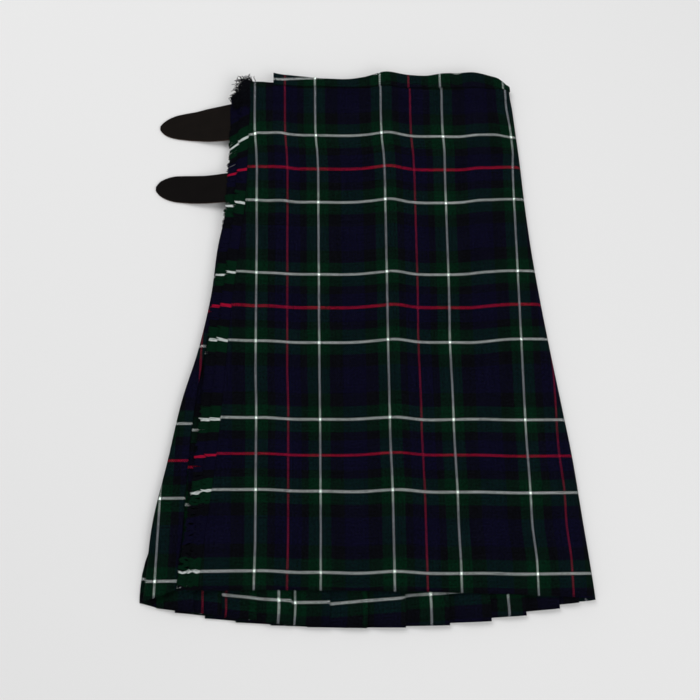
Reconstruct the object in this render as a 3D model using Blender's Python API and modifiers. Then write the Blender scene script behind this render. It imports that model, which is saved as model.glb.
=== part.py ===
# Scottish kilt, laid flat with its fringed over apron up.
# X runs across the garment, Y runs from the hem to the waist, Z is up from the floor.
# Lengths below are in millimetres and become metres where a mesh is made.

import math
import random
from collections import namedtuple

import bmesh
import bpy

MM = 0.001
CLOTH = 1.2          # wall of the woollen cloth
GAP = 0.3            # space left between touching layers and pieces
PITCH = CLOTH + GAP  # from the middle of one layer to the next
FLOOR_LAYER = CLOTH / 2

PLEATS = 13
FOLD_DEPTH = 1.5     # inner depth of a pleat, in widths of its visible strip
SLOPE_RUN = 0.36     # where a layer climbs over a fold, in the same widths
FOLD_CLEAR = 2.0
STACK_LAYERS = 5
HEM_LOW = -328.0     # lowest point of the pleated hem, at the middle
HEM_SAG = 30.0       # how far its ends lie above that point
HALF_HEM = 252.0
HEM_TILT = 0.013     # rise of the whole hem for each millimetre to the right
HEM_LEFT = -160.0    # left of here the pleated hem rises a little more
HEM_LEFT_RISE = 1.2
HEM_RIGHT = 212.0    # right of here it hangs a little lower
HEM_RIGHT_DROP = 5.5
HEM_END_RUN = 30.0   # run of both changes
FIRST_RISE = 0.16    # further rise to the left in the left half of the first strip's hem
HEM_NEAR = -312.0    # where the strips' widths are taken to place their hems
STRIP_TILT = 0.6     # share of the hem's slope that each strip follows by itself
LAST_FOLD = 0.55     # where the folds near the right side stop, past the last strip's left
PLEAT_TOP = 309.0    # top edge of the layers under the over apron

# The strips are uneven: places across the pleats in strip widths, and how far they lie to the
# right of their even place.
PLEAT_SHIFT_COLUMNS = ("k", "shift")
PLEAT_SHIFTS = (
    (0.0, 0.0),
    (0.45, 0.0),
    (1.5, -0.03),
    (2.5, -0.25),
    (3.5, -0.25),
    (4.5, -0.28),
    (5.5, -0.19),
    (6.5, -0.12),
    (7.5, -0.03),
    (8.5, 0.22),
    (9.5, 0.41),
    (10.5, 0.42),
    (11.5, 0.40),
    (12.38, 0.0),
    (13.0, 0.0),
)

# The waistband's front, and the rest of it that lies out of sight.
BAND_LOW = 306.5
BAND_HIDDEN_LOW = 301.5
BAND_HIDDEN_TOP = 309.5
BAND_START = -106.0
BAND_TUCK = 120.0    # how far it runs in under the over apron
BAND_ACROSS = 34     # how many of the over apron's columns it follows, from the seam
BAND_RISE_FROM = 282.0
BAND_RISE_RUN = 14.0

APRON_TOP = 315.0
APRON_RAW_TOP = 309.8
APRON_CORNER = 6.0   # how far its top right corner is rounded down
APRON_HEM = -287.0
APRON_HEM_DROP = 13.7

UNDER_Z = FLOOR_LAYER + STACK_LAYERS * PITCH
FOLD_TOP_Z = UNDER_Z + 2 * PITCH
SIDE_ROLL = 5.0      # half width of the rolled left side
RIGHT_ROLL = 0.34    # in widths of a pleat's strip, as the next two are
SEAM_AT = 0.62
LEFT_SEAM_AT = 0.45
UNDER_APRON_END = 34.0  # how far its inner edge stays from the right side

# Where the over apron climbs towards its left: how far right of the side pleat's edge it
# starts, the run, and the same over the straps and just inside the fringe.
PLEAT_CLIMB_FROM = 44.0
PLEAT_CLIMB_RUN = 20.0
STRAP_CLIMB = 2.9
STRAP_CLIMB_FROM = -76.0
STRAP_CLIMB_RUN = 20.0
STRAP_SPAN_LOW = 112.0
STRAP_SPAN_LOW_RUN = 35.0
STRAP_SPAN_HIGH = 284.0
STRAP_SPAN_HIGH_RUN = 16.0
EDGE_CLIMB_FROM = 26.0
EDGE_CLIMB_RUN = 12.0

# Rows of the cloth from hem to top, as shares of the way, so that neighbours meet exactly.
ROWS = (0.0, 0.1, 0.21, 0.33, 0.45, 0.56, 0.66, 0.75, 0.86, 0.955, 0.978, 1.0)
APRON_ACROSS = 27    # spans of the over apron's top, and of its rolled side
ROLL_STEPS = 8
UNDER_ROLL_STEPS = 6
UNDER_ACROSS = 10

STRANDS = 110
SHORT_REACH = 11.5   # strands of the upper row, and the bend of the lower row's
LONG_REACH = 22.5
BACKING = 4.0        # width of the strip that holds the strands
STRAND_FILL = 0.62
STRAND_TIP = 0.8
STRAND_LEAN = 0.3    # its drift towards the hem there
DROOP = 0.025        # fall of a strand past the side, for each square millimetre
STRAP_THICK = 2.4

# Sides of the lying garment at heights up it: the rolled left and right sides, the root of
# the fringe, and the free edge of the side pleat that shows left of the fringe.
SIDE_COLUMNS = ("y", "left", "right", "fringe", "fold")
SIDES = (
    (-330.0, -250.0, 253.0, -188.0, -212.0),
    (-290.0, -243.5, 250.5, -185.8, -209.0),
    (-215.0, -236.5, 242.5, -177.0, -203.0),
    (-145.0, -221.5, 235.0, -168.5, -199.0),
    (-80.0, -208.0, 225.5, -162.5, -192.5),
    (-20.0, -190.5, 216.5, -157.7, -182.5),
    (45.0, -177.0, 207.5, -152.0, -169.0),
    (105.0, -170.0, 200.5, -145.0, -162.0),
    (160.0, -158.0, 195.8, -138.6, -148.0),
    (215.0, -146.0, 192.3, -136.6, -136.0),
    (270.0, -136.0, 187.8, -134.8, -125.0),
    (325.0, -127.0, 183.5, -134.5, -115.0),
)

# Top edge of the waistband along the over apron.
BAND_TOP_COLUMNS = ("x", "top")
BAND_TOP = (
    (-107.0, 322.3),
    (-93.0, 319.8),
    (-74.0, 319.4),
    (-54.0, 317.2),
    (-35.0, 316.4),
    (-15.0, 316.8),
    (4.0, 319.7),
    (23.0, 323.8),
    (43.0, 324.6),
    (63.0, 323.2),
    (82.0, 322.5),
    (102.0, 325.4),
    (122.0, 325.9),
    (150.0, 325.2),
    (162.0, 323.0),
    (170.0, 320.5),
    (176.0, 315.5),
    (180.0, 312.0),
    (190.0, 311.0),
)

# Straps from the hidden sewn end to the rounded tip: their two edges, and the height of the
# middle of the leather, which comes down from the side pleat to the floor.
STRAP_COLUMNS = ("x", "low", "high", "z")
STRAPS = {
    "strap_upper": (
        (-101.0, 242.0, 281.0, 10.2),
        (-114.0, 240.6, 282.2, 11.6),
        (-124.0, 239.4, 283.0, 13.2),
        (-134.0, 238.4, 283.6, 13.4),
        (-146.0, 237.6, 283.4, 13.2),
        (-158.0, 237.0, 282.6, 11.2),
        (-172.0, 237.0, 281.0, 7.6),
        (-186.0, 237.8, 279.2, 4.4),
        (-198.0, 239.2, 276.6, 2.4),
        (-210.0, 240.4, 274.6, 1.4),
        (-224.0, 242.4, 271.0, 1.3),
        (-233.0, 245.2, 266.4, 1.3),
        (-239.0, 249.4, 261.4, 1.3),
        (-242.0, 253.2, 257.4, 1.3),
    ),
    "strap_lower": (
        (-113.0, 160.0, 194.0, 10.2),
        (-129.0, 159.2, 194.2, 11.4),
        (-140.0, 158.6, 194.2, 13.2),
        (-147.0, 158.2, 194.0, 13.4),
        (-160.0, 157.8, 193.4, 13.0),
        (-172.0, 157.6, 192.6, 10.6),
        (-186.0, 158.0, 192.4, 7.0),
        (-200.0, 159.0, 193.2, 3.8),
        (-212.0, 160.4, 193.8, 1.8),
        (-224.0, 162.0, 193.2, 1.3),
        (-234.0, 165.4, 190.0, 1.3),
        (-241.0, 170.0, 185.6, 1.3),
        (-245.0, 175.0, 179.8, 1.3),
    ),
}

# Long soft ridges of the over apron: place across, lean per millimetre up the garment, width,
# height, and the place up the garment where the ridge starts and the run over which it grows.
Ridge = namedtuple("Ridge", "x lean width height from_y fade")
RIDGES = (
    Ridge(38.0, -0.022, 15.0, 6.0, -900.0, 100.0),
    Ridge(140.0, -0.010, 14.0, 4.5, -40.0, 170.0),
    Ridge(-60.0, 0.030, 24.0, 1.4, -330.0, 200.0),
    Ridge(96.0, 0.020, 20.0, 1.6, -330.0, 120.0),
)


def smooth(a):
    a = min(1.0, max(0.0, a))
    return a * a * (3.0 - 2.0 * a)


def mix(a, b, t):
    return a + (b - a) * t


def table(rows, columns, name, at):
    # Cubic curve through one column of a table, read at a value of its first column.
    c = columns.index(name)
    keys = [row[0] for row in rows]
    vals = [row[c] for row in rows]
    if keys[0] > keys[-1]:
        keys.reverse()
        vals.reverse()
    at = min(keys[-1], max(keys[0], at))
    i = 0
    while i < len(keys) - 2 and at > keys[i + 1]:
        i += 1
    step = keys[i + 1] - keys[i]
    t = (at - keys[i]) / step
    here = (vals[i + 1] - vals[i]) / step
    before = here
    after = here
    if i > 0:
        before = (vals[i + 1] - vals[i - 1]) / (keys[i + 1] - keys[i - 1])
    if i < len(keys) - 2:
        after = (vals[i + 2] - vals[i]) / (keys[i + 2] - keys[i])
    h = step * t * (1.0 - t)
    return mix(vals[i], vals[i + 1], smooth(t)) + h * ((1.0 - t) * before - t * after)


def side(name, y):
    return table(SIDES, SIDE_COLUMNS, name, y)


def pleat_left(y):
    # The first pleat shows past the rolled side near the hem and lies inside it above.
    outside = 12.0 * smooth((-205.0 - y) / 70.0) - 3.5 * smooth((-285.0 - y) / 30.0)
    return side("left", y) + 8.0 - outside


def strip_width(y):
    return (side("right", y) - pleat_left(y)) / PLEATS


def pleat_x(k, y):
    # Place across the garment of k strip widths past the first fold.
    return pleat_left(y) + (k + table(PLEAT_SHIFTS, PLEAT_SHIFT_COLUMNS, "shift", k)) * strip_width(y)


def band_rise(y):
    # The waistband lies between the floor and the cloth, so the cloth rises by one layer.
    return PITCH * smooth((y - BAND_RISE_FROM) / BAND_RISE_RUN)


def over_z(x, y):
    # Middle of the over apron's cloth: it rests on the under apron, rides over the side
    # pleat and the straps at its left, and carries the long ridges.
    z = UNDER_Z + PITCH + 2.0 * band_rise(y)
    z += (2 * PITCH + 0.2) * smooth((side("fold", y) + PLEAT_CLIMB_FROM - x) / PLEAT_CLIMB_RUN)
    strap = smooth((y - STRAP_SPAN_LOW) / STRAP_SPAN_LOW_RUN)
    strap *= 1.0 - smooth((y - STRAP_SPAN_HIGH) / STRAP_SPAN_HIGH_RUN)
    z += STRAP_CLIMB * strap * smooth((STRAP_CLIMB_FROM - x) / STRAP_CLIMB_RUN)
    z += PITCH * smooth((side("fringe", y) + EDGE_CLIMB_FROM - x) / EDGE_CLIMB_RUN)
    for ridge in RIDGES:
        off = (x - ridge.x - ridge.lean * y) / ridge.width
        z += ridge.height * math.exp(-off * off) * smooth((y - ridge.from_y) / ridge.fade)
    return z


def make_material(name, color, roughness, metallic=0.0):
    mat = bpy.data.materials.new(name)
    mat.use_nodes = True
    shader = mat.node_tree.nodes["Principled BSDF"]
    shader.inputs["Base Color"].default_value = (*color, 1.0)
    shader.inputs["Roughness"].default_value = roughness
    shader.inputs["Metallic"].default_value = metallic
    return mat


def add_object(name, bm, material, collection):
    bmesh.ops.recalc_face_normals(bm, faces=bm.faces)
    mesh = bpy.data.meshes.new(name)
    bm.to_mesh(mesh)
    bm.free()
    mesh.materials.append(material)
    ob = bpy.data.objects.new(name, mesh)
    collection.objects.link(ob)
    return ob


def offset_sides(points):
    # Both faces of a cloth wall around its middle line, in the plane across the garment.
    outer = []
    inner = []
    last = len(points) - 1
    for i, (x, y, z) in enumerate(points):
        nx = 0.0
        nz = 0.0
        for a, b in ((i - 1, i), (i, i + 1)):
            if a < 0 or b > last:
                continue
            dx = points[b][0] - points[a][0]
            dz = points[b][2] - points[a][2]
            size = math.hypot(dx, dz)
            nx -= dz / size
            nz += dx / size
        size = math.hypot(nx, nz)
        nx *= CLOTH / 2 / size
        nz *= CLOTH / 2 / size
        outer.append((x + nx, y, z + nz))
        inner.append((x - nx, y, z - nz))
    return outer, inner


def cloth_wall(name, rows, material, collection):
    # Loft of a wall of cloth through rows of middle points, closed at its four edges.
    bm = bmesh.new()
    sheets = []
    for row in rows:
        sheets.append([[bm.verts.new([c * MM for c in p]) for p in face]
                       for face in offset_sides(row)])
    count = len(rows[0])
    for low, high in zip(sheets, sheets[1:]):
        for face in (0, 1):
            for i in range(count - 1):
                bm.faces.new((low[face][i], low[face][i + 1], high[face][i + 1], high[face][i]))
        for i in (0, count - 1):
            bm.faces.new((low[0][i], high[0][i], high[1][i], low[1][i]))
    for sheet in (sheets[0], sheets[-1]):
        for i in range(count - 1):
            bm.faces.new((sheet[0][i], sheet[0][i + 1], sheet[1][i + 1], sheet[1][i]))
    return add_object(name, bm, material, collection)


def hem_arc(x):
    rise = HEM_LEFT_RISE * smooth((HEM_LEFT - x) / HEM_END_RUN)
    rise -= HEM_RIGHT_DROP * smooth((x - HEM_RIGHT) / HEM_END_RUN)
    return HEM_LOW + HEM_SAG * (x / HALF_HEM) ** 2 + HEM_TILT * x + rise


def strip_hem(strip, x):
    # Hem of one strip: a straight line through the arc at the strip's own middle.
    middle = pleat_x(strip - 0.5, HEM_NEAR)
    slope = STRIP_TILT * (2.0 * HEM_SAG * middle / HALF_HEM ** 2 + HEM_TILT)
    hem = hem_arc(middle) + slope * (x - middle)
    if strip == 1:
        hem += FIRST_RISE * max(0.0, middle - x)
    return hem


def layer_level(strip, k):
    # Height of a strip's layer above the floor layer, k strip widths from the first fold.
    level = 0.0
    for fold in range(strip + 1, PLEATS + 1):
        level += 2 * PITCH * min(1.0, max(0.0, (k - (fold - 1) + SLOPE_RUN) / SLOPE_RUN))
    return level


def strip_points(strip, start, end, lift):
    # Corner points of one layer from k = start to k = end, going right.
    points = [(start, 0.0)]
    for fold in range(1, PLEATS + 1):
        for k in (fold - 1 - SLOPE_RUN, fold - 1.0):
            if start < k - 0.02 and k + 0.02 < end and fold > strip:
                points.append((k, -FOLD_CLEAR))
    points.append((end, 0.0))
    return [(k, dx, layer_level(strip, k) + lift) for k, dx in points]


def pleat_section():
    # The whole zigzag of cloth, left to right through every fold, as k, offset, height and
    # the height of its hem.
    def hem_at(strip, k, dx):
        return strip_hem(strip, pleat_x(k, HEM_NEAR) + dx)

    section = []
    for strip in range(PLEATS + 1):
        last = strip == PLEATS
        start = strip - 1.0
        end = min(strip + FOLD_DEPTH, PLEATS - 1 + LAST_FOLD)
        if strip == 0:
            start = LEFT_SEAM_AT
        if last:
            end = PLEATS - SEAM_AT
        outward = []
        for k, dx, z in strip_points(max(strip, 1), start, end, 0.0 if strip else 2 * PITCH):
            outward.append((k, dx, z, hem_at(max(strip, 1), k, dx)))
        section += outward
        if last:
            break
        k, dx, z, hem = outward[-1]
        section.append((k, PITCH / 2, z - PITCH / 2, hem))
        inward = []
        for k, dx, z in strip_points(strip + 1, float(strip), end, PITCH):
            inward.append((k, dx, z))
        inward.reverse()
        hem_end = hem_at(strip + 1, strip, 0.0)
        for k, dx, z in inward:
            t = (end - k) / (end - strip)
            section.append((k, dx, z, mix(hem, hem_end, t)))
        section.append((float(strip), -PITCH / 2, PITCH / 2, hem_end))
    return section


def pleated_back(material, collection):
    rows = []
    section = pleat_section()
    for v in ROWS:
        row = []
        for k, dx, z, hem in section:
            y = mix(hem, PLEAT_TOP, v)
            x = pleat_x(k, y) + dx
            row.append((x, y, FLOOR_LAYER + z + band_rise(y)))
        rows.append(row)
    return cloth_wall("pleated_back", rows, material, collection)


def arc(cx, cz, rx, rz, start, end, count):
    # Points on an ellipse in the plane across the garment, angles in degrees.
    points = []
    for i in range(count + 1):
        a = math.radians(mix(start, end, i / count))
        points.append((cx + rx * math.cos(a), cz + rz * math.sin(a)))
    return points


def under_apron_path(y):
    rise = band_rise(y)
    left = side("left", y) + CLOTH / 2 + 1.5 * rise
    fold = side("fold", y)
    low = FLOOR_LAYER + 2 * PITCH + rise
    top = FOLD_TOP_Z + rise
    seam = pleat_left(y) + LEFT_SEAM_AT * strip_width(y) - GAP
    inner = left + SIDE_ROLL
    right = side("right", y) - UNDER_APRON_END
    path = [(seam, low)]
    path += arc(inner, (low + top) / 2, SIDE_ROLL, (top - low) / 2, -90, -270, UNDER_ROLL_STEPS)
    path += [(fold - PITCH / 2, top), (fold, top - PITCH / 2), (fold - PITCH / 2, top - PITCH)]
    path += [(inner, top - PITCH), (inner - PITCH / 2, top - 1.5 * PITCH), (inner, top - 2 * PITCH)]
    for i in range(1, UNDER_ACROSS + 1):
        path.append((mix(inner, right, i / UNDER_ACROSS), top - 2 * PITCH))
    return path


# Hem of the under apron: at the two ends of its rolled side, at the side pleat's edge, at the
# turn back under it, and along the flat apron.
UNDER_HEM_COLUMNS = ("roll_low", "roll_top", "pleat", "turn", "apron", "apron_end")
UNDER_HEMS = dict(zip(UNDER_HEM_COLUMNS, (-297.5, -293.5, -283.5, -289.0, -286.0, -296.0)))


def under_apron(material, collection):
    at = UNDER_HEMS
    seam_x = pleat_left(HEM_NEAR) + LEFT_SEAM_AT * strip_width(HEM_NEAR)
    hems = [strip_hem(1, seam_x)]
    for i in range(UNDER_ROLL_STEPS + 1):
        hems.append(mix(at["roll_low"], at["roll_top"], i / UNDER_ROLL_STEPS))
    hems += 3 * [at["pleat"]] + 3 * [at["turn"]]
    for i in range(UNDER_ACROSS):
        hems.append(mix(at["apron"], at["apron_end"], i / (UNDER_ACROSS - 1)))
    rows = []
    for v in ROWS:
        row = []
        for i, hem in enumerate(hems):
            y = mix(hem, PLEAT_TOP, v)
            x, z = under_apron_path(y)[i]
            row.append((x, y, z))
        rows.append(row)
    return cloth_wall("under_apron", rows, material, collection)


def over_apron_path(y, shift):
    # Seam beside the last pleat, the rolled right side, then the top to the fringe. A shift
    # of one layer gives the waistband's path around the same cloth.
    rise = band_rise(y)
    right = side("right", y) - CLOTH / 2 - rise
    width = strip_width(y)
    low = FLOOR_LAYER + rise - shift
    turn = right - RIGHT_ROLL * width
    top = over_z(turn, y) + shift
    reach = right + shift - turn
    path = [(side("right", y) - SEAM_AT * width + GAP, low)]
    path += arc(turn, (low + top) / 2, reach, (top - low) / 2, -90, 90, ROLL_STEPS)
    end = side("fringe", y) + BACKING + GAP
    for i in range(1, APRON_ACROSS + 1):
        x = mix(turn, end, i / APRON_ACROSS)
        path.append((x, over_z(x, y) + shift))
    return path


def apron_hem(x):
    return APRON_HEM - APRON_HEM_DROP * ((x + 203.0) / 452.0) ** 2


def apron_top(x):
    # The raw edge left of the waistband, the edge under it, and the rounded right corner.
    rise = (APRON_TOP - APRON_RAW_TOP) * smooth((x - BAND_START) / 8.0)
    return APRON_RAW_TOP + rise - APRON_CORNER * smooth((x - 158.0) / 20.0)


def over_apron_rows():
    rows = []
    for v in ROWS:
        row = []
        for i in range(APRON_ACROSS + ROLL_STEPS + 2):
            x, z = over_apron_path(APRON_HEM, 0.0)[i]
            seam = pleat_left(HEM_NEAR) + (PLEATS - SEAM_AT) * strip_width(HEM_NEAR)
            around = min(1.0, max(0.0, (i - 1) / ROLL_STEPS))
            low = mix(strip_hem(PLEATS, seam), apron_hem(x), around)
            top = apron_top(over_apron_path(APRON_TOP, 0.0)[i][0])
            y = mix(low, top, v)
            x, z = over_apron_path(y, 0.0)[i]
            row.append((x, y, z))
        rows.append(row)
    return rows


def over_apron(material, collection):
    return cloth_wall("over_apron", over_apron_rows(), material, collection)


FRINGED_EDGE = [row[-1] for row in over_apron_rows()]


def fringed_edge(y):
    # Root of the fringe and its height, on the straight runs of the apron's own edge.
    i = 0
    while i < len(FRINGED_EDGE) - 2 and y > FRINGED_EDGE[i + 1][1]:
        i += 1
    a, b = FRINGED_EDGE[i], FRINGED_EDGE[i + 1]
    t = (y - a[1]) / (b[1] - a[1])
    return mix(a[0], b[0], t) - BACKING - GAP, mix(a[2], b[2], t)


def waistband_path(y):
    # Over the apron from its start to the right, round the right side, under the pleats,
    # round the left side and over the side pleat, then in under the over apron.
    path = [(BAND_START, over_z(BAND_START, y) + PITCH)]
    path += reversed(over_apron_path(y, PITCH)[:BAND_ACROSS])
    left = side("left", y) + CLOTH / 2
    top = FOLD_TOP_Z + band_rise(y) + PITCH
    inner = left + SIDE_ROLL + PITCH
    flat = path[-1][0]
    path += [(mix(flat, inner, i / 6), FLOOR_LAYER) for i in range(1, 6)]
    path += arc(inner, (FLOOR_LAYER + top) / 2, inner - left, (top - FLOOR_LAYER) / 2, -90, -270, 8)
    edge = side("fold", y) + PITCH + 1.0
    low = edge + SIDE_ROLL
    path += [(edge, top), (low, top - 2 * PITCH)]
    path += [(mix(low, BAND_TUCK, i / 4), top - 2 * PITCH) for i in range(1, 5)]
    return path


def waistband(material, collection):
    edges = []
    for i, (x, z) in enumerate(waistband_path(BAND_LOW)):
        if i <= BAND_ACROSS:
            edges.append((BAND_LOW, table(BAND_TOP, BAND_TOP_COLUMNS, "top", x)))
        else:
            edges.append((BAND_HIDDEN_LOW, BAND_HIDDEN_TOP))
    rows = []
    for v in (0.0, 0.5, 1.0):
        row = []
        for i, (low, crest) in enumerate(edges):
            y = mix(low, crest, v)
            x, z = waistband_path(y)[i]
            row.append((x, y, z))
        rows.append(row)
    return cloth_wall("waistband", rows, material, collection)


def strand_floor(x, y):
    # Lowest middle height that a strand may have over a strap or over the side pleat.
    if side("left", y) + 4.0 < x < side("fold", y) + 3.0:
        return FOLD_TOP_Z + CLOTH + GAP
    floor = 0.0
    for name, rows in STRAPS.items():
        low = table(rows, STRAP_COLUMNS, "low", x) - 2.0
        high = table(rows, STRAP_COLUMNS, "high", x) + 2.0
        away = max(0.0, low - y, y - high)
        top = table(rows, STRAP_COLUMNS, "z", x) + STRAP_THICK / 2
        floor = max(floor, top + CLOTH / 2 + 1.0 - 0.4 * away)
    return floor


def strand_z(x, y, tier):
    # Middle height of a strand: level with the apron, bent down past the rolled side.
    over = max(0.0, side("left", y) + 1.0 - x)
    z = fringed_edge(y)[1] - DROOP * over * over
    floor = strand_floor(x, y) + PITCH
    return max(z, floor, 3.0 + PITCH) - tier * (PITCH + 0.03 * over)


def fringe(name, tier, middle, length, material, collection, draw):
    # A narrow strip of cloth with its strands drawn out from its outer edge.
    bm = bmesh.new()
    low_y = APRON_HEM + 1.0
    high_y = APRON_RAW_TOP
    pitch = (high_y - low_y) / STRANDS
    columns = []
    strands = []
    for i in range(STRANDS):
        for part in (0.5 - STRAND_FILL / 2, 0.5 + STRAND_FILL / 2):
            y = low_y + (i + part) * pitch
            x, z = fringed_edge(y)
            z -= tier * PITCH
            spots = []
            for px in (x, x + BACKING):
                for dz in (CLOTH / 2, -CLOTH / 2):
                    spots.append(bm.verts.new((px * MM, y * MM, (z + dz) * MM)))
            columns.append(spots)
        y = low_y + (i + 0.5) * pitch
        edge, root_z = fringed_edge(y)
        tip_x = edge - length - draw.uniform(-1.2, 1.2)
        mid_x = edge - middle
        sway = draw.uniform(-0.6, 0.6)
        mid_y = 0.3 * sway - STRAND_LEAN * max(0.0, side("left", y) - mid_x)
        tip_y = sway - STRAND_LEAN * max(0.0, side("left", y) - tip_x)
        mid_z = strand_z(mid_x, y + mid_y, tier)
        bend_z = strand_z(edge - SHORT_REACH, y + mid_y, tier)
        straight = mix(root_z - tier * PITCH, bend_z, middle / SHORT_REACH)
        mid_z = max(mid_z, straight)
        tip_z = strand_z(tip_x, y + tip_y, tier)
        strands.append((mid_x, mid_y, mid_z, tip_x, tip_y, tip_z))
    for a, b in zip(columns, columns[1:]):
        for p, q in ((0, 2), (3, 1), (2, 3)):
            bm.faces.new((a[p], a[q], b[q], b[p]))
    for spots in (columns[0], columns[-1]):
        bm.faces.new((spots[0], spots[2], spots[3], spots[1]))
    for a, b in zip(columns[1::2], columns[2::2]):
        bm.faces.new((a[0], a[1], b[1], b[0]))
    for i, (mid_x, mid_y, mid_z, tip_x, tip_y, tip_z) in enumerate(strands):
        a, b = columns[2 * i], columns[2 * i + 1]
        ring = []
        for spots, dz in ((a, 1), (a, -1), (b, -1), (b, 1)):
            y = spots[0].co.y / MM + mid_y
            ring.append(bm.verts.new((mid_x * MM, y * MM, (mid_z + dz * 0.5) * MM)))
        root_ring = (a[0], a[1], b[1], b[0])
        for p in range(4):
            q = (p + 1) % 4
            bm.faces.new((root_ring[p], root_ring[q], ring[q], ring[p]))
        ya = mix(a[0].co.y, b[0].co.y, 0.5 - STRAND_TIP / 2) / MM + tip_y
        yb = mix(a[0].co.y, b[0].co.y, 0.5 + STRAND_TIP / 2) / MM + tip_y
        tip_a = bm.verts.new((tip_x * MM, ya * MM, tip_z * MM))
        tip_b = bm.verts.new((tip_x * MM, yb * MM, tip_z * MM))
        bm.faces.new((ring[0], ring[1], tip_a))
        bm.faces.new((ring[1], ring[2], tip_b, tip_a))
        bm.faces.new((ring[2], ring[3], tip_b))
        bm.faces.new((ring[3], ring[0], tip_a, tip_b))
    return add_object(name, bm, material, collection)


def strap(name, material, collection):
    # Open leather surface through the table's rows, then given its thickness.
    bm = bmesh.new()
    across = 4
    rows = []
    for x, low, high, z in STRAPS[name]:
        row = []
        for i in range(across + 1):
            row.append(bm.verts.new((x * MM, mix(low, high, i / across) * MM, z * MM)))
        rows.append(row)
    for a, b in zip(rows, rows[1:]):
        for i in range(across):
            bm.faces.new((a[i], a[i + 1], b[i + 1], b[i]))
    ob = add_object(name, bm, material, collection)
    wall = ob.modifiers.new("leather thickness", "SOLIDIFY")
    wall.thickness = STRAP_THICK * MM
    wall.offset = 0.0
    wall.use_even_offset = True
    return ob


def main():
    for ob in list(bpy.data.objects):
        bpy.data.objects.remove(ob)
    collection = bpy.data.collections.new("scottish_kilt")
    bpy.context.scene.collection.children.link(collection)
    tartan = make_material("tartan cloth", (0.012, 0.030, 0.032), 0.85)
    band = make_material("tartan band", (0.010, 0.038, 0.024), 0.85)
    yarn = make_material("fringe yarn", (0.016, 0.034, 0.040), 0.9)
    leather = make_material("black leather", (0.010, 0.008, 0.007), 0.45)
    draw = random.Random(7)
    pleated_back(tartan, collection)
    under_apron(tartan, collection)
    over_apron(tartan, collection)
    waistband(band, collection)
    fringe("fringe_upper", 0, SHORT_REACH / 2, SHORT_REACH, yarn, collection, draw)
    fringe("fringe_lower", 1, SHORT_REACH, LONG_REACH, yarn, collection, draw)
    for name in STRAPS:
        strap(name, leather, collection)


main()
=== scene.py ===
# Scottish kilt laid flat: its cloth, yarn and leather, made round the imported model.
import math

import bpy
import numpy as np
from mathutils import Matrix, Vector


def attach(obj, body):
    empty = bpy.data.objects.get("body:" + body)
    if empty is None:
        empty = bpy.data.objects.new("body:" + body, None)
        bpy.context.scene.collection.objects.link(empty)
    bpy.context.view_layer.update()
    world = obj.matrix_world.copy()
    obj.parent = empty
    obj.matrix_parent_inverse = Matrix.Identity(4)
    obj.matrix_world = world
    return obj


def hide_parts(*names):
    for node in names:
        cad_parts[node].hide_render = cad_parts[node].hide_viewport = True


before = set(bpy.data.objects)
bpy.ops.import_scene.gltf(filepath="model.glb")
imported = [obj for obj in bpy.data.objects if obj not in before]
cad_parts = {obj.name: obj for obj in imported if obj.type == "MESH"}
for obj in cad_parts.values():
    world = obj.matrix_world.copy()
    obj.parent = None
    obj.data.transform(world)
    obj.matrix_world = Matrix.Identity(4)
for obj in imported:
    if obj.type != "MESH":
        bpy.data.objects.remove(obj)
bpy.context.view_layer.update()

mm = 0.001                       # the sizes below are in millimetres
print("frame loaded:", len(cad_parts), "solids")

# sizes that all the cloth shares
kilt = {
    "cloth": 1.2,                # thickness of the woollen cloth
    "gap": 0.3,                  # space between touching layers
    "pleats": 13,
    "stackLayers": 5,            # pleat layers that lie on each other
    "sideRoll": 5.0,             # half width of the rolled left side
    "rightRoll": 0.34,           # the next three in widths of a pleat's strip
    "seamAt": 0.62,
    "leftSeamAt": 0.45,
    "pleatInset": 8.0,           # of the first pleat from the left side
    "pleatSwings": ((-12.0, -205.0, 70.0), (3.5, -285.0, 30.0)),  # way, where it starts, run down
    "hemNear": -312.0,           # where the strips' widths are taken to place their hems
    "arcLow": -328.0,            # the pleated hem's lowest point,
    "arcRise": 30.0,             # its rise
    "arcHalf": 252.0,            # at this way from the middle
    "hemFollow": 0.6,            # share of the arc's slope in each strip's straight hem
    "hemTilt": 0.013,
    "hemLeft": -160.0,           # left of here the pleated hem rises a little more
    "hemLeftRise": 1.2,
    "hemRight": 212.0,           # right of here it hangs a little lower
    "hemRightDrop": 5.5,
    "hemEndRun": 30.0,           # run of both changes
    "firstRise": 0.16,           # further rise to the left in the left half of its first strip
    "layerTop": 309.0,           # top edge of the layers under the over apron
    "bandRiseFrom": 282.0,
    "bandRiseRun": 14.0,
}
pitch = kilt["cloth"] + kilt["gap"]
floorLayer = kilt["cloth"] / 2
underZ = floorLayer + kilt["stackLayers"] * pitch
foldTopZ = underZ + 2 * pitch

# the garment's sides at heights up it: rolled sides, root of the fringe, edge of the side pleat
sides = {
    "y": (-330, -290, -215, -145, -80, -20, 45, 105, 160, 215, 270, 325),
    "left": (-250, -243.5, -236.5, -221.5, -208, -190.5, -177, -170, -158, -146, -136, -127),
    "right": (253, 250.5, 242.5, 235, 225.5, 216.5, 207.5, 200.5, 195.8, 192.3, 187.8, 183.5),
    "fringe": (-188, -185.8, -177, -168.5, -162.5, -157.7, -152, -145, -138.6, -136.6, -134.8, -134.5),
    "fold": (-212, -209, -203, -199, -192.5, -182.5, -169, -162, -148, -136, -125, -115),
}

# how far places across the pleats lie to the right of their even place, in strip widths
pleatShifts = {
    "k": (0, 0.45, 1.5, 2.5, 3.5, 4.5, 5.5, 6.5, 7.5, 8.5, 9.5, 10.5, 11.5, 12.38, 13),
    "shift": (0, 0, -0.03, -0.25, -0.25, -0.28, -0.19, -0.12, -0.03, 0.22, 0.41, 0.42, 0.40, 0, 0),
}


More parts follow.
